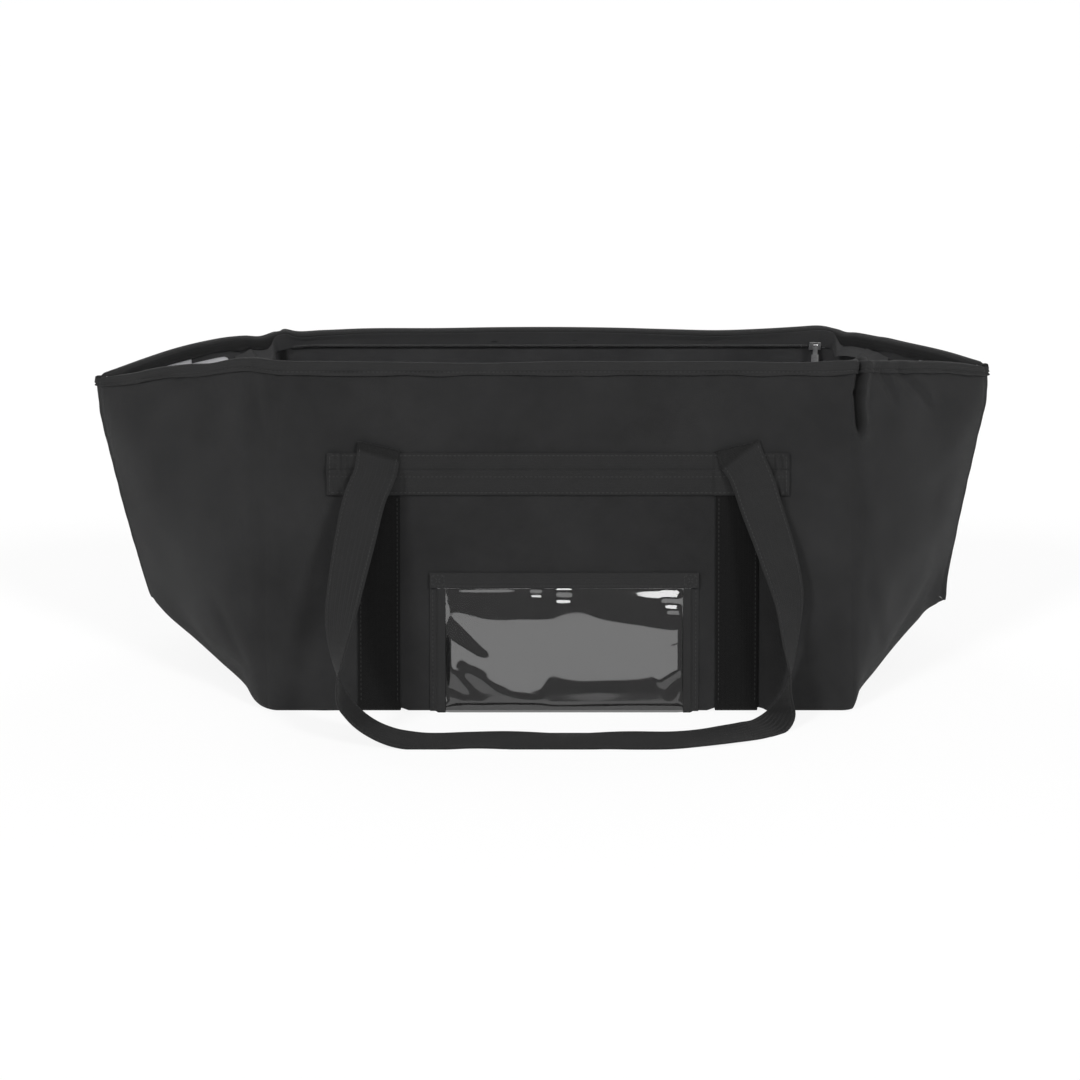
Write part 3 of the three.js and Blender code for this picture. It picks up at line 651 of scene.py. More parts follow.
def foil_cloth():
    """Silver foil lining: bright metal film on cloth, with fine crinkles."""
    made = Finish("silver_foil_lining", Metallic=0.6, Specular_IOR_Level=0.5)
    place, _, _ = made.cloth_map()
    crumple = made.noise(place, 34.0, 6.0, 0.62)
    edges = {"feature": "DISTANCE_TO_EDGE"}
    crackle = made.node("ShaderNodeTexVoronoi", edges, {"Vector": place, "Scale": 90.0})
    made.colour((crumple * 1.3 - 0.15).clamp(0.0, 1.0), grey(0.74, 1.02), grey(0.93, 1.01))
    made.rough((0.24 + crumple * 0.28).clamp(0.0, 1.0))
    made.bump(crumple + crackle * 0.35, 0.0022, 0.55)
    return made.material


def plain_foam():
    """Foam padding: off-white, with fine cells."""
    made = Finish("white_foam", Roughness=0.95, Specular_IOR_Level=0.2)
    place, _, _ = made.cloth_map()
    cells = made.noise(place, 700.0, 2.0)
    made.colour(cells, (0.70, 0.69, 0.65), (0.84, 0.83, 0.79))
    made.bump(cells, 0.0004)
    return made.material


def object_noise(made, scale, detail=3.0):
    """Noise in the piece's own metres, for pieces without a map."""
    place = made.node("ShaderNodeTexCoord", {}, {}, 3)
    return made.noise(place, scale, detail)


def worn_metal(name, dark, light):
    """Metal rubbed lighter in places."""
    made = Finish(name, Metallic=0.95, Specular_IOR_Level=0.5)
    rub = object_noise(made, 900.0, 4.0)
    made.colour(rub, grey(dark), grey(light))
    made.rough(0.22 + rub * 0.25)
    made.bump(rub, 0.00004)
    return made.material


def hard_plastic():
    """The coil's black plastic."""
    made = Finish("coil_plastic", Roughness=0.42, Specular_IOR_Level=0.45)
    rub = object_noise(made, 700.0)
    made.colour(rub, grey(0.018), grey(0.032))
    made.bump(rub, 0.00003)
    return made.material


def thread(name, dark, light):
    """Twisted sewing thread."""
    made = Finish(name, Roughness=0.6, Specular_IOR_Level=0.35)
    twist = object_noise(made, 1400.0)
    made.colour(twist, grey(dark), grey(light))
    made.bump(twist, 0.00008)
    return made.material


def vinyl():
    """Clear sheet: glossy, a little grey, with faint scuffs."""
    made = Finish("clear_vinyl", Specular_IOR_Level=0.9, IOR=1.62)
    scuff = object_noise(made, 60.0, 6.0)
    made.colour(scuff, grey(0.010), grey(0.018))
    made.rough((0.035 + (scuff - 0.5) * 0.06).clamp(0.02, 0.2))
    made.shader.inputs["Alpha"].default_value = 0.62
    return made.material


cloth = woven("black_cloth", 0.0095, 0.0215, 0.0007, 0.0)
# Painted light: the facing is the same black cloth as the walls, painted about two and a half times lighter
# because it lies in shade inside the mouth.
facing_cloth_painted_light = woven("black_facing_cloth", 0.028, 0.054, 0.0007, 3.0)
webbing = ribbed("black_webbing", 0.0052, 0.0132, 0.0017, 0.0025, 0.0)
# Painted shade: the carry straps are the same webbing as the band and handles, painted about four times
# darker for the shade that the handles' legs cast over them.
strap_webbing_painted_shade = ribbed("deep_black_webbing", 0.0013, 0.0034, 0.0017, 0.0025, 2.0, gloss=0.12)
binding_tape = ribbed("black_binding_tape", 0.0070, 0.0145, 0.0011, 0.0016, 5.0, 0.00014)
# Painted light: the zip tape is painted about twice as light as the black cloth, to lift it where it lies in
# shade inside the mouth.
zip_cloth_painted_light = ribbed("black_zip_tape", 0.020, 0.038, 0.0010, 0.0015, 9.0, 0.00014)
foil = foil_cloth()
foam = plain_foam()
zip_metal = worn_metal("worn_zip_metal", 0.22, 0.46)
coil_plastic = hard_plastic()
black_thread = thread("black_thread", 0.009, 0.019)
# Painted shade: the straps' stitches are the same black thread, painted about three times darker for the
# shade over the straps.
strap_thread_painted_shade = thread("deep_black_thread", 0.003, 0.007)
clear = vinyl()


# Walls: cloth, foam, lining and facing
def wall_columns(short=0.0):
    """Places along a wall, closest where it creases at the corners; short of the side seams by a length."""
    end = HALF + GUSSET - short
    inner, outer = HALF - CORNER_BLEND, HALF + CORNER_BLEND
    fine, gusset, corner, panel = 10, 50, 104, 60
    return runs(-end, (-end + 0.02, fine), (-outer, gusset), (-inner, corner), (inner, panel),
                (outer, corner), (end - 0.02, gusset), (end, fine))


def wall_layer(wall, depths, low, columns, rows, name, material, slot):
    """One layer of a wall, between two depths. It keeps how far each point lies in a deep crease, which the
    cloth's material turns into painted shade.
    """
    a, up = np.meshgrid(columns, np.linspace(0, 1, rows))
    s = low + (WALL_TOP - low) * up
    outer, inner = wall.at(a, s, depths[0]), wall.at(a, s, depths[1])
    piece = add_sheet(name, outer, inner, np.stack([a, s], -1), material, "bag", slot, wall.mirror < 0)
    fold = piece.data.attributes.new("fold", "FLOAT", "POINT")
    fold.data.foreach_set("value", np.tile(wall.crease_shade(a, s).astype(np.float32).ravel(), 2))
    return piece


def facing_low(a):
    """Lower edge of the facing: level from corner to corner, and cut back on its tails along the gussets."""
    left, right = FACING_CUTS
    cut = smooth((left - a) / CUT_OVER) + smooth((a - right) / CUT_OVER)
    return FACING_LOW + (TAIL_LOW - FACING_LOW) * cut


def make_walls(wall):
    """The layers of one wall: cloth, foam, lining and facing."""
    name, whole = wall.name, (2 * (HALF + GUSSET), WALL_TOP)
    shell = wall_layer(wall, SHELL, 0.0, wall_columns(), 120, f"{name}_cloth", cloth, "cloth")
    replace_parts(shell, f"{name}_shell")
    pad = wall_layer(wall, FOAM, 0.0, wall_columns(FOAM_SHORT), 120, f"{name}_padding", foam, "foam")
    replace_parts(pad, f"{name}_foam")
    lining = wall_layer(wall, LINER, 0.0, wall_columns(), 80, f"{name}_lining", foil, "foil_lining")
    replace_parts(lining, f"{name}_liner")
    strip = np.linspace(*FACING_ENDS, 260)
    low = facing_low(strip)
    band = wall_layer(wall, FACING, low, strip, 20, f"{name}_facing_strip", facing_cloth_painted_light, "cloth")
    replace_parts(band, f"{name}_facing")


make_walls(front)
make_walls(back)


# Base: cloth, foam and lining
def base_at(a, q, depth):
    """The base: straight lines across the bag between the feet of the two walls, tucked up at its seams and
    raised over the straps. q runs from -1 at the front seam to 1 at the back one."""
    a, q = np.broadcast_arrays(np.asarray(a, float), np.asarray(q, float))
    plain, foot = form(a, 0.0), front.outer(a, 0.0)
    reach = np.maximum(-foot[..., 1], SEAM_GAP)
    away = (1 - np.abs(q)) * reach
    lift = np.clip(1 - away / TUCK_REACH, 0, 1) ** 2
    place = plain + (foot - plain) * lift[..., None]
    place[..., 1] = q * reach
    place[..., 2] += CHANNEL * strap_share(a, LIFT) * (1 - lift)
    wall_normal = inward(front.outer, a, np.zeros(a.shape))
    below = base_inward(a)
    half = (wall_normal + below) / (1.0 + (wall_normal * below).sum(-1, keepdims=True))
    near = smooth(1 - away / 0.03)[..., None]
    half = half * np.stack([np.ones(a.shape), -np.sign(q), np.ones(a.shape)], -1)
    return place + depth * (below * (1 - near) + half * near)


def base_layer(depths, name, material, slot):
    """One layer of the base, between two depths."""
    end = HALF + GUSSET - 0.0015
    inner, outer = HALF - 0.06, HALF + 0.02
    columns = runs(-end, (-outer, 40), (-inner, 40), (inner, 120), (outer, 40), (end, 40))
    rows = runs(-1.0, (-0.9, 14), (0.9, 60), (1.0, 14))
    a, q = np.meshgrid(columns, rows)
    outer, inner = base_at(a, q, depths[0]), base_at(a, q, depths[1])
    return add_sheet(name, outer, inner, np.stack([a, q * DEPTH / 2], -1), material, "bag", slot, True)


# The base's cut is a rectangle with a pointed gusset at each end
base_cloth = base_layer(SHELL, "base_cloth", cloth, "cloth")
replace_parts(base_cloth, "base_shell")
base_pad = base_layer(FOAM, "base_padding", foam, "foam")
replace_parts(base_pad, "base_foam")
base_lining = base_layer(LINER, "base_lining", foil, "foil_lining")
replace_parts(base_lining, "base_liner")


# Stitches
STITCH_PITCH = 0.0042
STITCH_LENGTH = 0.0031


def add_stitches(name, centres, along, normals, length, body, slot, material=black_thread):
    """One bead of thread for each stitch: four rings of six points on a line, thickest in the middle."""
    turns = (np.arange(6) * math.pi / 3)[None, :, None]
    rings = np.array([[-0.5, 0.25], [-0.2, 1.0], [0.2, 1.0], [0.5, 0.25]])
    along, normals = unit(along), unit(normals)
    side = unit(np.cross(along, normals))
    wide, high = 0.00042, 0.00028
    section = wide * np.cos(turns) * side[:, None] + high * np.sin(turns) * normals[:, None]
    offsets = [share * length * along[:, None] + size * section for share, size in rings]
    points = centres[:, None, None] + np.stack(offsets, 1)
    bead = np.arange(24).reshape(4, 6)
    nexts = np.roll(bead, -1, axis=1)
    quads = np.stack([bead[:-1], nexts[:-1], nexts[1:], bead[1:]], -1).reshape(-1, 4)
    ends = np.array([[0, 5, 4, 3], [0, 3, 2, 1], [18, 19, 20, 21], [18, 21, 22, 23]])
    quads = np.concatenate([quads[:, ::-1], ends])
    faces = (quads[None] + 24 * np.arange(len(centres))[:, None, None]).reshape(-1, 4)
    return add_piece(name, points, [faces], material, body)


def seam_on(wall, lines, lift, name, slot, pitch=STITCH_PITCH, length=STITCH_LENGTH, material=black_thread):
    """Stitches along lines on a wall; each line is its ends in a and s. Lift is a height or a function of
    the place."""
    centres, ways, outs = [], [], []
    for start, end in lines:
        start, end = np.array(start), np.array(end)
        count = max(int(np.hypot(*(end - start)) / pitch), 1)
        t = (np.arange(count) + 0.5) / count
        a, s = start[0] + t * (end - start)[0], start[1] + t * (end - start)[1]
        depth = -(lift(a, s) if callable(lift) else np.full(a.shape, lift))
        centre = wall.at(a, s, depth)
        ahead = wall.at(a + 0.001 * (end - start)[0], s + 0.001 * (end - start)[1], depth)
        centres.append(centre)
        ways.append(ahead - centre)
        outs.append(wall.out(a, s))
    return add_stitches(name, *map(np.concatenate, (centres, ways, outs)), length, "bag", slot, material)


# Rim binding: tape folded over the wall's top edge
def fold_section(low, top, outer, inner, thick, swell=0.0):
    """Closed section of a folded tape, as places up the wall and depths into it: out and over the fold, down
    the inside, and back along its inner face."""
    middle, half = (outer + inner) / 2, (inner - outer) / 2
    turn = np.linspace(0, math.pi, 13)
    round_s = np.abs(np.sin(turn)) ** 0.7
    round_d = np.sign(np.cos(turn)) * np.abs(np.cos(turn)) ** 0.7
    rise = 0.0032
    legs = np.linspace(low, top - rise, 15)[:-1]
    bow = swell * np.sin(math.pi * (legs - low) / (top - rise - low))
    out_s = np.concatenate([legs, top - rise + rise * round_s, legs[::-1]])
    out_d = np.concatenate([outer - bow, middle - half * round_d, inner + bow[::-1]])
    half_in, rise_in = half - thick, rise - thick * 0.6
    in_s = np.concatenate([legs, top - rise + rise_in * round_s, legs[::-1]])[::-1]
    in_d = np.concatenate([outer + thick - bow, middle - half_in * round_d, inner - thick + bow[::-1]])[::-1]
    return np.concatenate([out_s, in_s]), np.concatenate([out_d, in_d])


def fold_maps(s, depth, a):
    """A folded tape's own map: the length round its fold, and the length along it."""
    around = run_length(np.stack([s, depth], 1))
    return np.stack([np.repeat(around[:, None], a.shape[1], 1), a], -1)


def rim_binding(wall):
    """Binding of one rim, loose below its stitches and pulled in along them."""
    s, depth = fold_section(BINDING_LOW, HEIGHT, BINDING_OUT, BINDING_IN, BINDING_THICK, BINDING_SWELL)
    near, far, end = HALF - CORNER_BLEND, HALF + CORNER_BLEND, HALF + GUSSET - 0.0004
    columns = runs(-end, (-far, 80), (-near, 30), (near, 220), (far, 30), (end, 80))
    a, up = np.meshgrid(columns, s)
    deep = np.repeat(depth[:, None], len(columns), 1)
    loose = smooth((HEIGHT - 0.0090 - up) / 0.0030)
    up = up + 0.0006 * loose * ripple(a, a * 0, wall.seed + 7.0, 0.060)
    deep = deep - 0.0004 * loose * np.sign(0.0036 - deep) * (1 + ripple(a, a * 0, wall.seed + 3.0, 0.018))
    pull = 0.0006 + 0.00025 * ripple(a, a * 0, wall.seed + 11.0, 0.070)
    deep = deep + pull * hump(up - BINDING_STITCHED, 0.0008) * (deep < 0.0)
    rings, maps = wall.at(a, up, deep), fold_maps(s, depth, a)
    return add_tube(f"{wall.name}_binding", rings, maps, binding_tape, "bag", wall.mirror > 0)


for wall in (front, back):
    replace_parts(rim_binding(wall), f"{wall.name}_rim_binding")
    end = HALF + GUSSET - 0.006
    line = ((-end, BINDING_STITCHED), (end, BINDING_STITCHED))
    seam_on(wall, [line], -BINDING_OUT, f"{wall.name}_binding_stitches", "binding")


# Carry webbing: up the front, under the base and up the back
def strap_rows(wall, across, high, lift):
    """A strap's points down a wall; its head slants up towards its outer edge."""
    s = np.concatenate([np.linspace(high, 0.03, 70), np.linspace(0.028, 0.008, 8)])
    x, up = np.meshgrid(across, s)
    outward = (np.abs(x) - STRAP_OFFSET) / (WEB_WIDTH / 2)
    return wall.at(x, up + FOLD_TILT * outward * smooth((up - 0.215) / 0.030), -lift)


def strap_turn(side, start, height):
    """A quarter turn round the foot of a wall, from the strap on the wall to the strap under the base."""
    end_y = side * (DEPTH / 2 - STRAP_TURN)
    t = np.linspace(0, 1, 9)[1:-1, None]
    corner_y = start[:, 1] + side * start[:, 2] * TAN
    y = (1 - t) ** 2 * start[:, 1] + 2 * t * (1 - t) * corner_y + t**2 * end_y
    z = (1 - t) ** 2 * start[:, 2] + 2 * t * (1 - t) * height + t**2 * height
    return np.stack([np.repeat(start[None, :, 0], len(t), 0), y, z], -1)


def strap_surface(across, high, lift, height):
    """One face of a strap, at a lift off the walls and a height under the base."""
    face, rear = strap_rows(front, across, high, lift), strap_rows(back, across, high, lift)[::-1]
    down = strap_turn(-1, face[-1], height)
    up = strap_turn(1, rear[0], height)[::-1]
    y = np.linspace(-DEPTH / 2 + STRAP_TURN, DEPTH / 2 - STRAP_TURN, 60)
    under = np.stack([*np.meshgrid(across, y), np.full((60, len(across)), height)], -1)
    return np.concatenate([face, down, under, up, rear])


def carry_strap(centre, name):
    """One length of webbing: two faces a thickness apart, drawn together along its edges."""
    across = centre + WEB_WIDTH / 2 * WEB_SHARES
    high = FOLD_HEIGHT - 0.0026
    outer = strap_surface(across, high, LIFT + WEB_THICK, 0.0)
    inner = strap_surface(across, high, LIFT, WEB_THICK)
    edge = WEB_EDGE * (np.abs(across - centre) > 0.495 * WEB_WIDTH)[None, :, None]
    way = unit(outer - inner)
    outer, inner = outer - edge * way, inner + edge * way
    length = run_length(outer[:, len(across) // 2])
    maps = np.stack(np.broadcast_arrays(across[None] - centre, length[:, None]), -1)
    return add_sheet(name, outer, inner, maps, strap_webbing_painted_shade, "bag", "webbing", True)


for side, word in ((-1, "left"), (1, "right")):
    strap = carry_strap(side * STRAP_OFFSET, f"{word}_strap")
    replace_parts(strap, f"{word}_carry_webbing")
    for wall in (front, back):
        edges = [side * STRAP_OFFSET + way * EDGE_STITCH * WEB_WIDTH / 2 for way in (-1, 1)]
        lines = [((edge, 0.012), (edge, BAND_TOP - WEB_WIDTH - 0.002)) for edge in edges]
        name = f"{wall.name}_{word}_strap_stitches"
        seam_on(wall, lines, LIFT + WEB_THICK + 0.0001, name, "webbing", material=strap_thread_painted_shade)


# Cross band, stepped up over the two straps
def band_lift(a):
    """Lift of the band's inner face: on the cloth, and over the two straps."""
    return LIFT + (WEB_THICK + LIFT) * strap_share(a, 0.0005)


def band_face(wall, a, s):
    """Lift of the band's outer face: soft puffs, a groove along its middle, and upright crumples at its
    ends."""
    share = (s - BAND_TOP + WEB_WIDTH) / WEB_WIDTH
    puff = 0.0005 * (1 + ripple(a, s, wall.seed + 1.0, 0.016)) * np.sin(math.pi * share)
    groove = 0.0007 * hump(s - BAND_TOP + BAND_GROOVE, 0.0007)
    loose = smooth((np.abs(a) - 0.196) / 0.008)
    crumple = 0.0011 * loose * np.clip(ripple(a, s * 0.25, wall.seed + 13.0, 0.007), -1.0, 1.0)
    return band_lift(a) + WEB_THICK + puff - groove + crumple + 0.0011 * loose


def cross_band(wall):
    """The band: two faces from its lower to its upper edge, drawn together along both."""
    across = np.array([
        0, 0.012, 0.06, 0.15, 0.3, 0.42, 0.5, 0.57, 0.585, 0.6, 0.615, 0.63, 0.75, 0.87, 0.95, 0.988, 1.0
    ])
    rows = BAND_TOP - WEB_WIDTH + WEB_WIDTH * across
    near, far = STRAP_OFFSET - 0.025, STRAP_OFFSET + 0.025
    columns = runs(-BAND_HALF, (-far, 36), (-near, 40), (near, 200), (far, 40), (BAND_HALF, 36))
    a, s = np.meshgrid(columns, rows)
    edge = WEB_EDGE * ((across < 0.005) | (across > 0.995))[:, None]
    outer = wall.at(a, s, -(band_face(wall, a, s) - edge))
    inner = wall.at(a, s, -(band_lift(a) + edge))
    maps = np.stack([s, a], -1)
    return add_sheet(f"{wall.name}_band", outer, inner, maps, webbing, "bag", "webbing", wall.mirror < 0)


for wall in (front, back):
    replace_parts(cross_band(wall), f"{wall.name}_cross_band")
    reach = BAND_HALF - 0.004
    lines = [((-reach, BAND_TOP - down), (reach, BAND_TOP - down)) for down in BAND_ROWS]
    lines += [((end, BAND_TOP - 0.037), (end, BAND_TOP - 0.003)) for end in (-reach - 0.001, reach + 0.001)]
    seam_on(wall, lines, lambda a, s: band_face(wall, a, s), f"{wall.name}_band_stitches", "webbing")


# Clear pocket
# Where the clear sheet's slope turns, as shares of its width and height: across, the foot of its belly, half
# the height of the bend there, and the shoulder above the belly
BELLY_SHARES = [
    (0.00, 0.358, 0.040, 0.70), (0.09, 0.307, 0.040, 0.69), (0.21, 0.211, 0.042, 0.66),
    (0.335, 0.130, 0.045, 0.65), (0.41, 0.130, 0.068, 0.65), (0.45, 0.195, 0.220, 0.68),
    (0.50, 0.186, 0.205, 0.72), (0.56, 0.175, 0.165, 0.73), (0.64, 0.170, 0.145, 0.67),
    (0.80, 0.178, 0.135, 0.61), (0.90, 0.192, 0.180, 0.58), (1.00, 0.220, 0.200, 0.58),
]
FOOT_SLOPE, BELLY_SLOPE, HEAD_SLOPE, TOP_SLOPE = 0.104, 0.026, -0.020, -0.060
FOOT_SLACK = 0.022
WINDOW_LIFT = 0.0013
WINDOW_THICK = 0.0005
WINDOW_HEAD = 0.88
POCKET_TAPE_THICK = 0.0008
# Places on the clear sheet of its buckles: start, end, slope and width
BUCKLES = [
    ((-0.116, 0.089), (-0.060, 0.046), 0.090, 0.0135),
    ((-0.098, 0.042), (-0.074, 0.013), 0.045, 0.0065),
    ((-0.112, 0.024), (-0.080, 0.013), 0.035, 0.0050),
    ((0.098, 0.1065), (0.119, 0.1050), -0.100, 0.0050),
    ((0.103, 0.0950), (0.119, 0.0942), -0.075, 0.0042),
    ((-0.094, 0.1150), (-0.041, 0.1150), -0.080, 0.0020),
    ((-0.026, 0.1145), (-0.014, 0.1140), -0.090, 0.0034),
    ((-0.002, 0.1115), (0.014, 0.1115), -0.100, 0.0052),
    ((0.097, 0.0240), (0.118, 0.0400), -0.060, 0.0075),
    ((0.106, 0.0630), (0.118, 0.0670), 0.060, 0.0030),
]


def buckle(a, s, start, end, slope, wide):
    """A soft step in the clear sheet across the line from start to end: it falls away with a slope on the
    line and comes back on both sides of it."""
    line = np.array(end) - np.array(start)
    size = np.hypot(*line)
    t = ((a - start[0]) * line[0] + (s - start[1]) * line[1]) / size**2
    off = ((s - start[1]) * line[0] - (a - start[0]) * line[1]) / size
    fade = smooth(t / 0.2 + 0.5) * smooth((1.15 - t) / 0.4)
    return fade * slope * off * hump(off, wide)


def window_lift(a, s):
    """Lift of the clear sheet off the cloth: its own slope up the panel falls in three steps, from its foot
    to its belly, to its shoulder and to its head. The lift is the sum of that slope, less what is left of it
    at the top, and it bridges the wrinkles of the cloth behind."""
    t = (a - POCKET_LEFT - POCKET_STITCHED) / (POCKET_RIGHT - POCKET_LEFT - 2 * POCKET_STITCHED)
    v = s / POCKET_TOP
    shares = np.array(BELLY_SHARES)
    turns = spline(shares[:, 0], shares[:, 1:], t[0])
    foot, half, shoulder = turns[:, 0], turns[:, 1], turns[:, 2]
    slope = FOOT_SLOPE + (BELLY_SLOPE - FOOT_SLOPE) * smooth((v - foot + half) / (2 * half))
    slope = slope + (HEAD_SLOPE - BELLY_SLOPE) * smooth((v - foot - half) / (shoulder - foot - half))
    slope = slope + (TOP_SLOPE - HEAD_SLOPE) * smooth((v - shoulder + 0.03) / 0.10)
    slope = slope + FOOT_SLACK * hump(v - 0.045, 0.040)
    lift = np.cumsum(slope * np.diff(s, axis=0, prepend=s[:1]), axis=0)
    lift = lift - SWELL * np.sin(math.pi * s / HEIGHT) * smooth(v / 0.1)
    head = np.argmin(np.abs(v[:, 0] - WINDOW_HEAD))
    lift = lift - lift[head] * np.clip(v / WINDOW_HEAD, 0, 1)
    for start, end, steep, wide in BUCKLES:
        lift = lift - buckle(a, s, start, end, steep, wide)
    sides = smooth((t - 0.026) / 0.035) * smooth((0.974 - t) / 0.035)
    bridge = (front.wrinkles(a, s) + front.tuck(a, s)) * smooth((WINDOW_HEAD - v) / 0.08)
    return WINDOW_LIFT + (np.maximum(lift, -0.0006) + bridge) * sides * smooth((0.90 - v) / 0.015)


def make_window():
    """The clear sheet: two faces at the window's lift and one thickness more."""
    reach = POCKET_STITCHED + LIFT
    columns = np.linspace(POCKET_LEFT + reach, POCKET_RIGHT - reach, 190)
    a, s = np.meshgrid(columns, np.linspace(0.001, POCKET_TOP - 0.0033, 150))
    lift = window_lift(a, s)
    outer, inner = front.at(a, s, -(lift + WINDOW_THICK)), front.at(a, s, -lift)
    window = add_sheet("clear_window", outer, inner, np.stack([a, s], -1), clear, "bag", "clear_vinyl")
    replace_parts(window, "pocket_window")


def flap_profile(x):
    """Lift of a side binding across its width: stitched down first, then up over the clear sheet's edge."""
    return LIFT + 0.0019 * smooth((x - 0.0052) / 0.0030)


def side_tape(side):
    """Binding of one side of the pocket: two faces at its profile's lift and one thickness more."""
    x = np.array([0, 0.0006, 0.002, 0.004, 0.0052, 0.006, 0.007, 0.0082, 0.010, 0.012, 0.0138, 0.0146])
    start = POCKET_LEFT if side < 0 else POCKET_RIGHT
    columns = start + x if side < 0 else (start - x)[::-1]
    a, s = np.meshgrid(columns, np.linspace(0.001, POCKET_TOP - POCKET_EDGE - LIFT, 60))
    lift = flap_profile(np.abs(a - start)) + 0.00015 * ripple(a * 0, s, 3.0 + side, 0.03)
    outer, inner = front.at(a, s, -(lift + POCKET_TAPE_THICK)), front.at(a, s, -lift)
    name = "pocket_tape_left" if side < 0 else "pocket_tape_right"
    return add_sheet(name, outer, inner, np.stack([a, s], -1), binding_tape, "bag", "binding")


def top_tape():
    """Binding folded over the clear sheet's upper edge."""
    s, depth = fold_section(POCKET_TOP - POCKET_EDGE, POCKET_TOP, -0.0029, -LIFT, POCKET_TAPE_THICK)
    columns = np.linspace(POCKET_LEFT, POCKET_RIGHT, 90)
    a, up = np.meshgrid(columns, s)
    rings = front.at(a, up, np.repeat(depth[:, None], len(columns), 1))
    return add_tube("pocket_tape_top", rings, fold_maps(s, depth, a), binding_tape, "bag", True)


def pocket_stitches():
    """A row up each side binding and one along the top binding, with a crossed box at each of its ends."""
    low, high = 0.004, POCKET_TOP - POCKET_EDGE - 0.001
    edges = (POCKET_LEFT + 0.0028, POCKET_RIGHT - 0.0028)
    seam_on(front, [((x, low), (x, high)) for x in edges], LIFT + 0.0010, "pocket_side_stitches", "binding")
    mid = POCKET_TOP - 0.0022
    box_low = POCKET_TOP - POCKET_EDGE + 0.0022
    lines = []
    for start, turn in ((POCKET_LEFT + 0.002, 1), (POCKET_RIGHT - 0.002, -1)):
        stop = start + turn * 0.0115
        corners = [(start, box_low), (start, mid), (stop, mid), (stop, box_low)]
        lines += [(corners[i], corners[j]) for i, j in ((0, 1), (3, 2), (1, 2), (0, 2), (1, 3))]
    lines.append(((POCKET_LEFT + 0.003, box_low), (POCKET_RIGHT - 0.003, box_low)))
    seam_on(front, lines, 0.0030, "pocket_top_stitches", "binding", pitch=0.0034, length=0.0026)


make_window()
for side, word in ((-1, "left"), (1, "right")):
    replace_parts(side_tape(side), f"pocket_binding_{word}")
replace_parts(top_tape(), "pocket_binding_top")
pocket_stitches()


# Zip: tape, coil teeth and stops on both rims
def add_teeth(wall):
    """Coil: one bent loop of plastic wire for each turn, laid side by side along the tape's edge."""
    pitch = 0.0021
    count = int(2 * COIL_REACH / pitch)
    turn = np.linspace(0, 2 * math.pi, 9)[:-1, None]
    wire = np.linspace(0, 2 * math.pi, 6)[None, :-1]
    middle = (COIL_TOP + COIL_LOW) / 2
    centre = -COIL_REACH + pitch * (np.arange(count) + 0.5)
    radius, high, thick = 0.00052, 0.00172, 0.00098
    s = middle + (high - radius + radius * np.cos(wire)) * np.cos(turn)
    deep = TAPE_DEPTH + (thick - radius + radius * np.cos(wire)) * np.sin(turn)
    a = radius * 1.5 * np.sin(wire) + 0 * s
    a = centre[:, None, None] + a[None]
    points = wall.at(a, np.broadcast_to(s, a.shape), np.broadcast_to(deep, a.shape))
    index = np.arange(40).reshape(8, 5)
    beside = np.roll(index, -1, 1)
    quads = np.stack([index, beside, np.roll(beside, -1, 0), np.roll(index, -1, 0)], -1).reshape(-1, 4)
    faces = (quads[None] + 40 * np.arange(count)[:, None, None]).reshape(-1, 4)
    return add_piece(f"{wall.name}_coil_teeth", points, [faces], coil_plastic, "bag")


def zip_tape(wall):
    """Tape under the rim, whose tails past the corners drop and turn their faces up."""
    columns = runs(-HALF - TAPE_TAILS[0], (-HALF, 60), (HALF, 200), (HALF + TAPE_TAILS[1], 80))
    hang = np.concatenate([np.linspace(0.0160, 0.0152, 2), np.linspace(0.0142, 0.0005, 9), [0.0]])
    a, hang = np.meshgrid(columns, hang)
    past = np.abs(a) - HALF
    tail = smooth((past - 0.008) / 0.018)
    ends = np.where(a < 0, *TAPE_TAILS)
    drop = 0.0095 * tail + 0.0050 * smooth((past - ends + 0.020) / 0.020)
    turn = TAIL_TURN * tail
    wave = 0.0003 * ripple(a, hang, wall.seed + 5.0, 0.03) * tail
    s = TAPE_TOP - drop - hang * np.cos(turn)
    deep = TAPE_DEPTH + 0.0020 * tail + hang * np.sin(turn) + wave
    outer, inner = wall.at(a, s, deep - TAPE_HALF_THICK), wall.at(a, s, deep + TAPE_HALF_THICK)
    maps = np.stack([s, a], -1)
    return add_sheet(f"{wall.name}_tape", outer, inner, maps, zip_cloth_painted_light, "bag", "zip_tape", wall.mirror < 0)


for wall in (front, back):
    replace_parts(zip_tape(wall), f"{wall.name}_zip_tape")
    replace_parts(add_teeth(wall), f"{wall.name}_zip_coil")


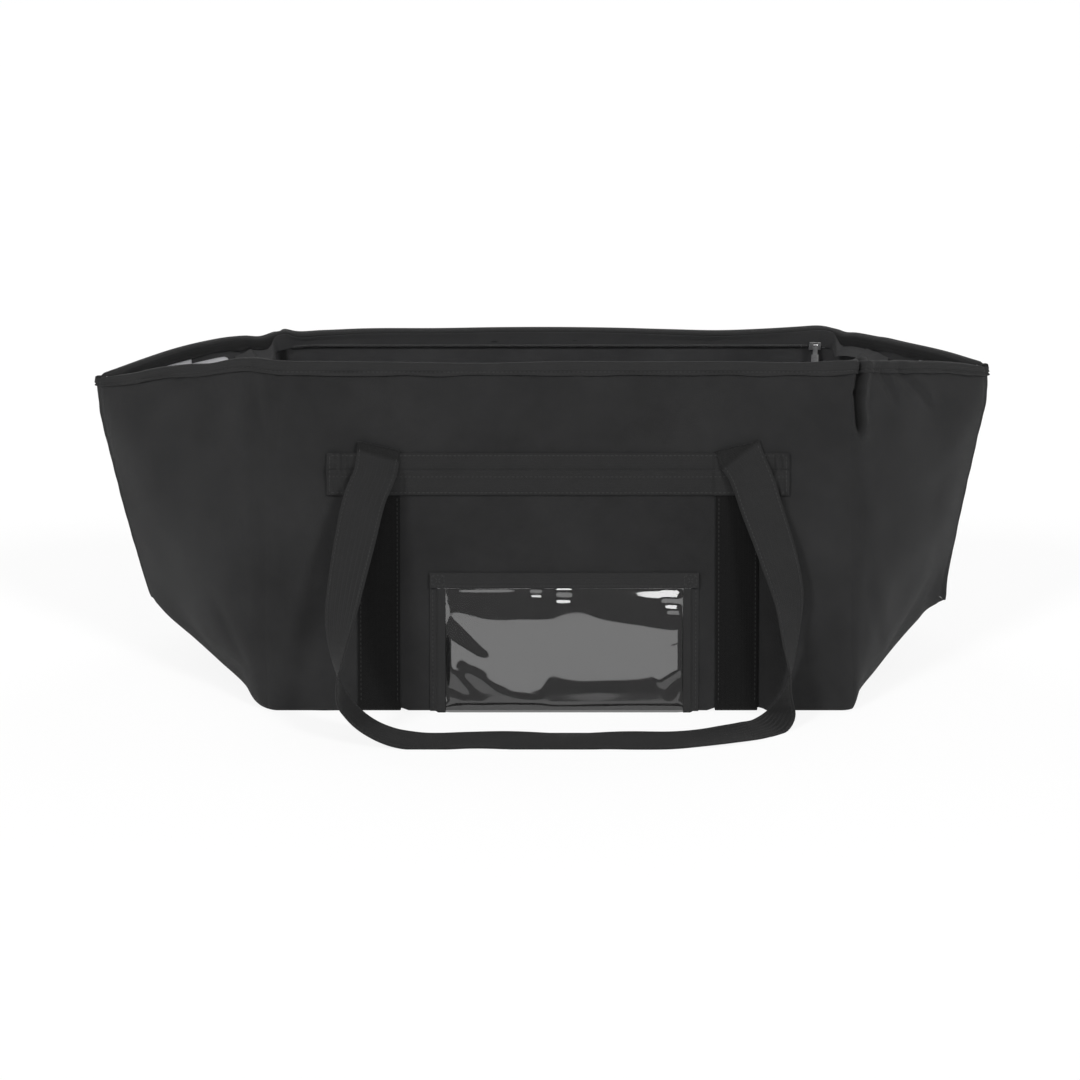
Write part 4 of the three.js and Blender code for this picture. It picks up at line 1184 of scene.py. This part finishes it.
# Handles
# Places on its centre line, as shares of the strap's offset, of its reach and of its fold's height, and half
# turns of its width
HANDLE_SHARES = [
    (-1.003, 0.04, 0.967, 0), (-1.014, 0.11, 0.921, 0), (-1.065, 0.225, 0.838, 0.017),
    (-1.111, 0.385, 0.712, 0.056), (-1.16, 0.59, 0.536, 0.183), (-1.18, 0.715, 0.434, 0.267),
    (-1.19, 0.805, 0.359, 0.344), (-1.189, 0.92, 0.262, 0.444), (-1.185, 0.972, 0.215, 0.5),
    (-1.172, 0.997, 0.17, 0.53), (-1.134, 1, 0.13, 0.54), (-1.079, 1, 0.0874, 0.54),
    (-1.001, 1, 0.0484, 0.53), (-0.9, 1, 0.0182, 0.52), (-0.78, 1, 0.0033, 0.51),
    (-0.5, 1, 0.0033, 0.5), (-0.15, 1, 0.0033, 0.5), (0.237, 1, 0.0033, 0.5),
    (0.65, 0.99, 0.0033, 0.47), (0.888, 0.931, 0.0033, 0.4), (1.065, 0.827, 0.004, 0.29),
    (1.178, 0.723, 0.012, 0.27), (1.231, 0.649, 0.05, 0.38), (1.263, 0.604, 0.116, 0.5),
    (1.284, 0.578, 0.19, 0.556), (1.285, 0.53, 0.3125, 0.656), (1.273, 0.464, 0.4545, 0.75),
    (1.22, 0.353, 0.605, 0.87), (1.131, 0.19, 0.788, 0.97), (1.062, 0.093, 0.918, 1),
    (1.024, 0.035, 0.966, 1),
]
FOLD_OUT = 0.0034
FOLD_RADIUS = 0.0015
FLOOR_CLEAR = 0.0002


def on_panel(height, out):
    """A place on the front panel's section: y and z."""
    return -DEPTH / 2 + height * SIN - out * COS, height * COS + out * SIN


def handle_path():
    """Centre line of the front handle and the direction of its width: round the fold at the head of one
    strap, down, along the floor and up to the other."""
    fold_y, fold_z = on_panel(FOLD_HEIGHT, FOLD_OUT)
    rows = np.array(HANDLE_SHARES) * np.array([STRAP_OFFSET, -HANDLE_REACH, fold_z, 1.0])
    rows[:, 1] += fold_y
    folds = []
    for side in (-1, 1):
        angle = np.linspace(math.pi, 0, 8)
        y, z = on_panel(FOLD_HEIGHT + FOLD_RADIUS * np.sin(angle), FOLD_OUT + FOLD_RADIUS * np.cos(angle))
        turn = 0.0 if side < 0 else 1.0
        fold = np.stack([np.full(8, side * STRAP_OFFSET), y, z, np.full(8, turn)], -1)
        folds.append(fold if side < 0 else fold[::-1])
    points = np.concatenate([folds[0], rows, folds[1]])
    length = run_length(points[:, :3])
    places = np.unique(np.concatenate([length[:8], np.linspace(length[7], length[-8], 300), length[-8:]]))
    path = spline(length, points, places)
    turn = math.pi * path[:, 3]
    width = np.stack([np.cos(turn), -np.sin(turn), np.zeros(len(turn))], -1)
    return path[:, :3], width, places


HANDLE_LENGTH = handle_path()[2][-1]
# Painted shade: the handle's webbing turns black from 14.5 mm before each end, where it folds over at a
# strap's head.
HANDLE_SHADE_FROM = HANDLE_LENGTH / 2 - 0.0145
handle_webbing = ribbed("black_handle_webbing", 0.0052, 0.0132, 0.0017, 0.0025, 0.0, painted_shade_from=HANDLE_SHADE_FROM)


def make_handle(wall):
    """The handle's strip: its centre line, widened across, cupped and fluttered a little, and slanted at
    its folds."""
    centre, width, places = handle_path()
    along = unit(np.gradient(centre, places, axis=0))
    width = unit(width - (width * along).sum(-1, keepdims=True) * along)
    face = np.cross(along, width)
    from_end = np.minimum(places, places[-1] - places)
    loose = smooth((from_end - 0.01) / 0.05)
    cup = 0.0011 * ripple(places, places * 0, wall.seed + 9.0, 0.12) * loose
    flutter = 0.0005 * np.sin(places / 0.017 + wall.seed) * loose
    slant = FOLD_TILT * (1 - smooth((from_end - 0.006) / 0.030))
    turned = np.array([wall.mirror, wall.mirror, 1.0])

    def line(share):
        """The strip's middle layer along one share of its half width."""
        bend = cup * share**2 + flutter * share**3
        up = np.array([0.0, SIN, COS])
        return centre + width * share * WEB_WIDTH / 2 + face * bend[:, None] - share * slant[:, None] * up

    middle = np.stack([line(share) for share in WEB_SHARES], 1)
    thin = np.where(np.abs(WEB_SHARES) > 0.99, WEB_EDGE, WEB_THICK / 2)[None, :, None]
    surfaces = []
    for side in (1, -1):
        surface = middle + side * thin * face[:, None]
        surface[..., 2] = np.maximum(surface[..., 2], FLOOR_CLEAR)
        surfaces.append(surface * turned)
    across, along_strip = WEB_SHARES[None] * WEB_WIDTH / 2, places[:, None] - HANDLE_LENGTH / 2
    maps = np.stack(np.broadcast_arrays(across, along_strip), -1)
    body = f"{wall.name}_loop"
    loop = add_sheet(f"{wall.name}_handle_webbing", *surfaces, maps, handle_webbing, body, "webbing", True)
    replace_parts(loop, f"{wall.name}_handle")

    where = np.arange(0.012, places[-1] - 0.012, STITCH_PITCH)

    def at_stitches(values):
        """Values along the strip, at the places of its stitches."""
        return np.stack([np.interp(where, places, values[:, k]) for k in range(3)], -1)

    out, way = at_stitches(face), at_stitches(along)
    centres, ways, outs = [], [], []
    for edge in (-EDGE_STITCH, EDGE_STITCH):
        for side in (1, -1):
            spots = at_stitches(line(edge)) + side * (WEB_THICK / 2 + 0.0001) * out
            keep = spots[:, 2] > 0.0006
            centres.append(spots[keep])
            ways.append(way[keep])
            outs.append(out[keep] * side)
    centres, ways, outs = (np.concatenate(v) * turned for v in (centres, ways, outs))
    add_stitches(f"{wall.name}_handle_stitches", centres, ways, outs, STITCH_LENGTH, body, "webbing")


make_handle(front)
make_handle(back)


# Metal of the zip: its solids with their edges rounded
def rounded_metal(node, body):
    """A node's solid: its double points merged, its flat faces joined and its edges rounded."""
    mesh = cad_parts[node].data.copy()
    shape = bmesh.new()
    shape.from_mesh(mesh)
    bmesh.ops.remove_doubles(shape, verts=shape.verts, dist=0.00001)
    bmesh.ops.dissolve_limit(shape, angle_limit=math.radians(1), verts=shape.verts, edges=shape.edges)
    shape.to_mesh(mesh)
    shape.free()
    mesh.materials.clear()
    mesh.materials.append(zip_metal)
    mesh.polygons.foreach_set("use_smooth", np.ones(len(mesh.polygons), bool))
    piece = bpy.data.objects.new(f"{node}_metal", mesh)
    bpy.context.scene.collection.objects.link(piece)
    bevel = piece.modifiers.new("rounded_edges", "BEVEL")
    bevel.width = 0.00028
    bevel.segments = 2
    bevel.limit_method = "ANGLE"
    bevel.angle_limit = math.radians(35)
    bevel.harden_normals = True
    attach(piece, body)
    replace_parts(piece, node)


rounded_metal("zip_slider", "slider")
rounded_metal("zip_pull", "pull")
for wall in (front, back):
    for word in ("left", "right"):
        rounded_metal(f"{wall.name}_zip_stop_{word}", "bag")


# Studio: camera, floor and light
SENSOR = 36.0
FOCAL_PIXELS, PHOTO_PIXELS = 2075.68, 1080
AIM_X, AIM_Z = -0.016965, 0.11676
CAMERA_DISTANCE, CAMERA_RISE = 2.100, math.radians(17)
FLOOR_GLOW = 0.86
SKY = 0.30


def make_camera():
    """Camera in front of the bag, which looks down at it as in the photograph."""
    camera = bpy.data.cameras.new("camera")
    camera.lens = FOCAL_PIXELS / PHOTO_PIXELS * SENSOR
    camera.sensor_width = SENSOR
    holder = bpy.data.objects.new("camera", camera)
    back_off, up = CAMERA_DISTANCE * math.cos(CAMERA_RISE), CAMERA_DISTANCE * math.sin(CAMERA_RISE)
    holder.location = (AIM_X, -back_off, AIM_Z + up)
    holder.rotation_euler = (math.radians(90) - CAMERA_RISE, 0, 0)
    bpy.context.scene.collection.objects.link(holder)
    bpy.context.scene.camera = holder


def make_floor():
    """White paper that keeps the bag's shadow and glows to the camera and in reflections."""
    reach = 200.0
    points = np.array([[-reach, -reach, 0], [reach, -reach, 0], [reach, reach, 0], [-reach, reach, 0]])
    mesh = bpy.data.meshes.new("floor")
    mesh.from_pydata(points.tolist(), [], [[0, 1, 2, 3]])
    paper = Finish("white_paper", Roughness=0.9, Specular_IOR_Level=0.1, Base_Color=(0.97, 0.97, 0.97, 1.0))
    rays = paper.tree.nodes.new("ShaderNodeLightPath").outputs
    kinds = ("Camera", "Glossy", "Transmission")
    direct, glossy, through = (Shade(paper.tree, rays[f"Is {kind} Ray"]) for kind in kinds)
    glow = paper.node("ShaderNodeEmission", {}, {"Color": (1.0, 1.0, 1.0, 1.0), "Strength": 1.0})
    share = (direct + glossy + through).clamp(0.0, 1.0) * FLOOR_GLOW
    lit = paper.node("ShaderNodeMixShader", {}, [share, Shade(paper.tree, paper.shader.outputs[0]), glow])
    paper.tree.links.new(lit.socket, paper.tree.nodes["Material Output"].inputs["Surface"])
    mesh.materials.append(paper.material)
    floor = bpy.data.objects.new("floor", mesh)
    floor.location.z = -FLOOR_CLEAR
    bpy.context.scene.collection.objects.link(floor)


def add_sun(name, azimuth, elevation, strength, spread):
    """A soft far light; azimuth 0 stands behind the camera, and elevation is above the horizon."""
    lamp = bpy.data.lights.new(name, "SUN")
    lamp.energy = strength
    lamp.angle = math.radians(spread)
    sun = bpy.data.objects.new(name, lamp)
    sun.rotation_euler = (math.radians(90 - elevation), 0, math.radians(azimuth))
    bpy.context.scene.collection.objects.link(sun)


def add_panel_light(name, place, turn, size, watts):
    """A rectangular lamp that shows in glossy surfaces alone."""
    lamp = bpy.data.lights.new(name, "AREA")
    lamp.shape = "RECTANGLE"
    lamp.size, lamp.size_y = size
    lamp.energy = watts
    light = bpy.data.objects.new(name, lamp)
    light.location = place
    light.rotation_euler = turn
    light.visible_camera = False
    light.visible_diffuse = False
    bpy.context.scene.collection.objects.link(light)


def make_world():
    """An even sky that the camera sees as white."""
    world = bpy.data.worlds.new("studio")
    bpy.context.scene.world = world
    world.use_nodes = True
    sky = world.node_tree.nodes["Background"].inputs
    sky["Color"].default_value = (1.0, 1.0, 1.0, 1.0)
    rays = world.node_tree.nodes.new("ShaderNodeLightPath").outputs
    strength = Shade(world.node_tree, rays["Is Camera Ray"]) * (1.0 - SKY) + SKY
    world.node_tree.links.new(strength.socket, sky["Strength"])


make_camera()
make_floor()
add_sun("left_sun", -42, 34, 1.66, 12)
add_sun("right_sun", 42, 34, 1.66, 12)
add_panel_light("front_panel", (0.0, -3.2, 0.579), (math.radians(90), 0, 0), (3.4, 0.602), 12.4)
add_panel_light("upper_panel", (0.0, -2.7, 1.45), (math.radians(62), 0, 0), (1.1, 0.50), 18.0)
add_sun("rear_left_sun", -140, 36, 0.55, 30)
add_sun("rear_right_sun", 140, 36, 0.55, 30)
make_world()
bpy.context.scene.view_settings.view_transform = "Standard"
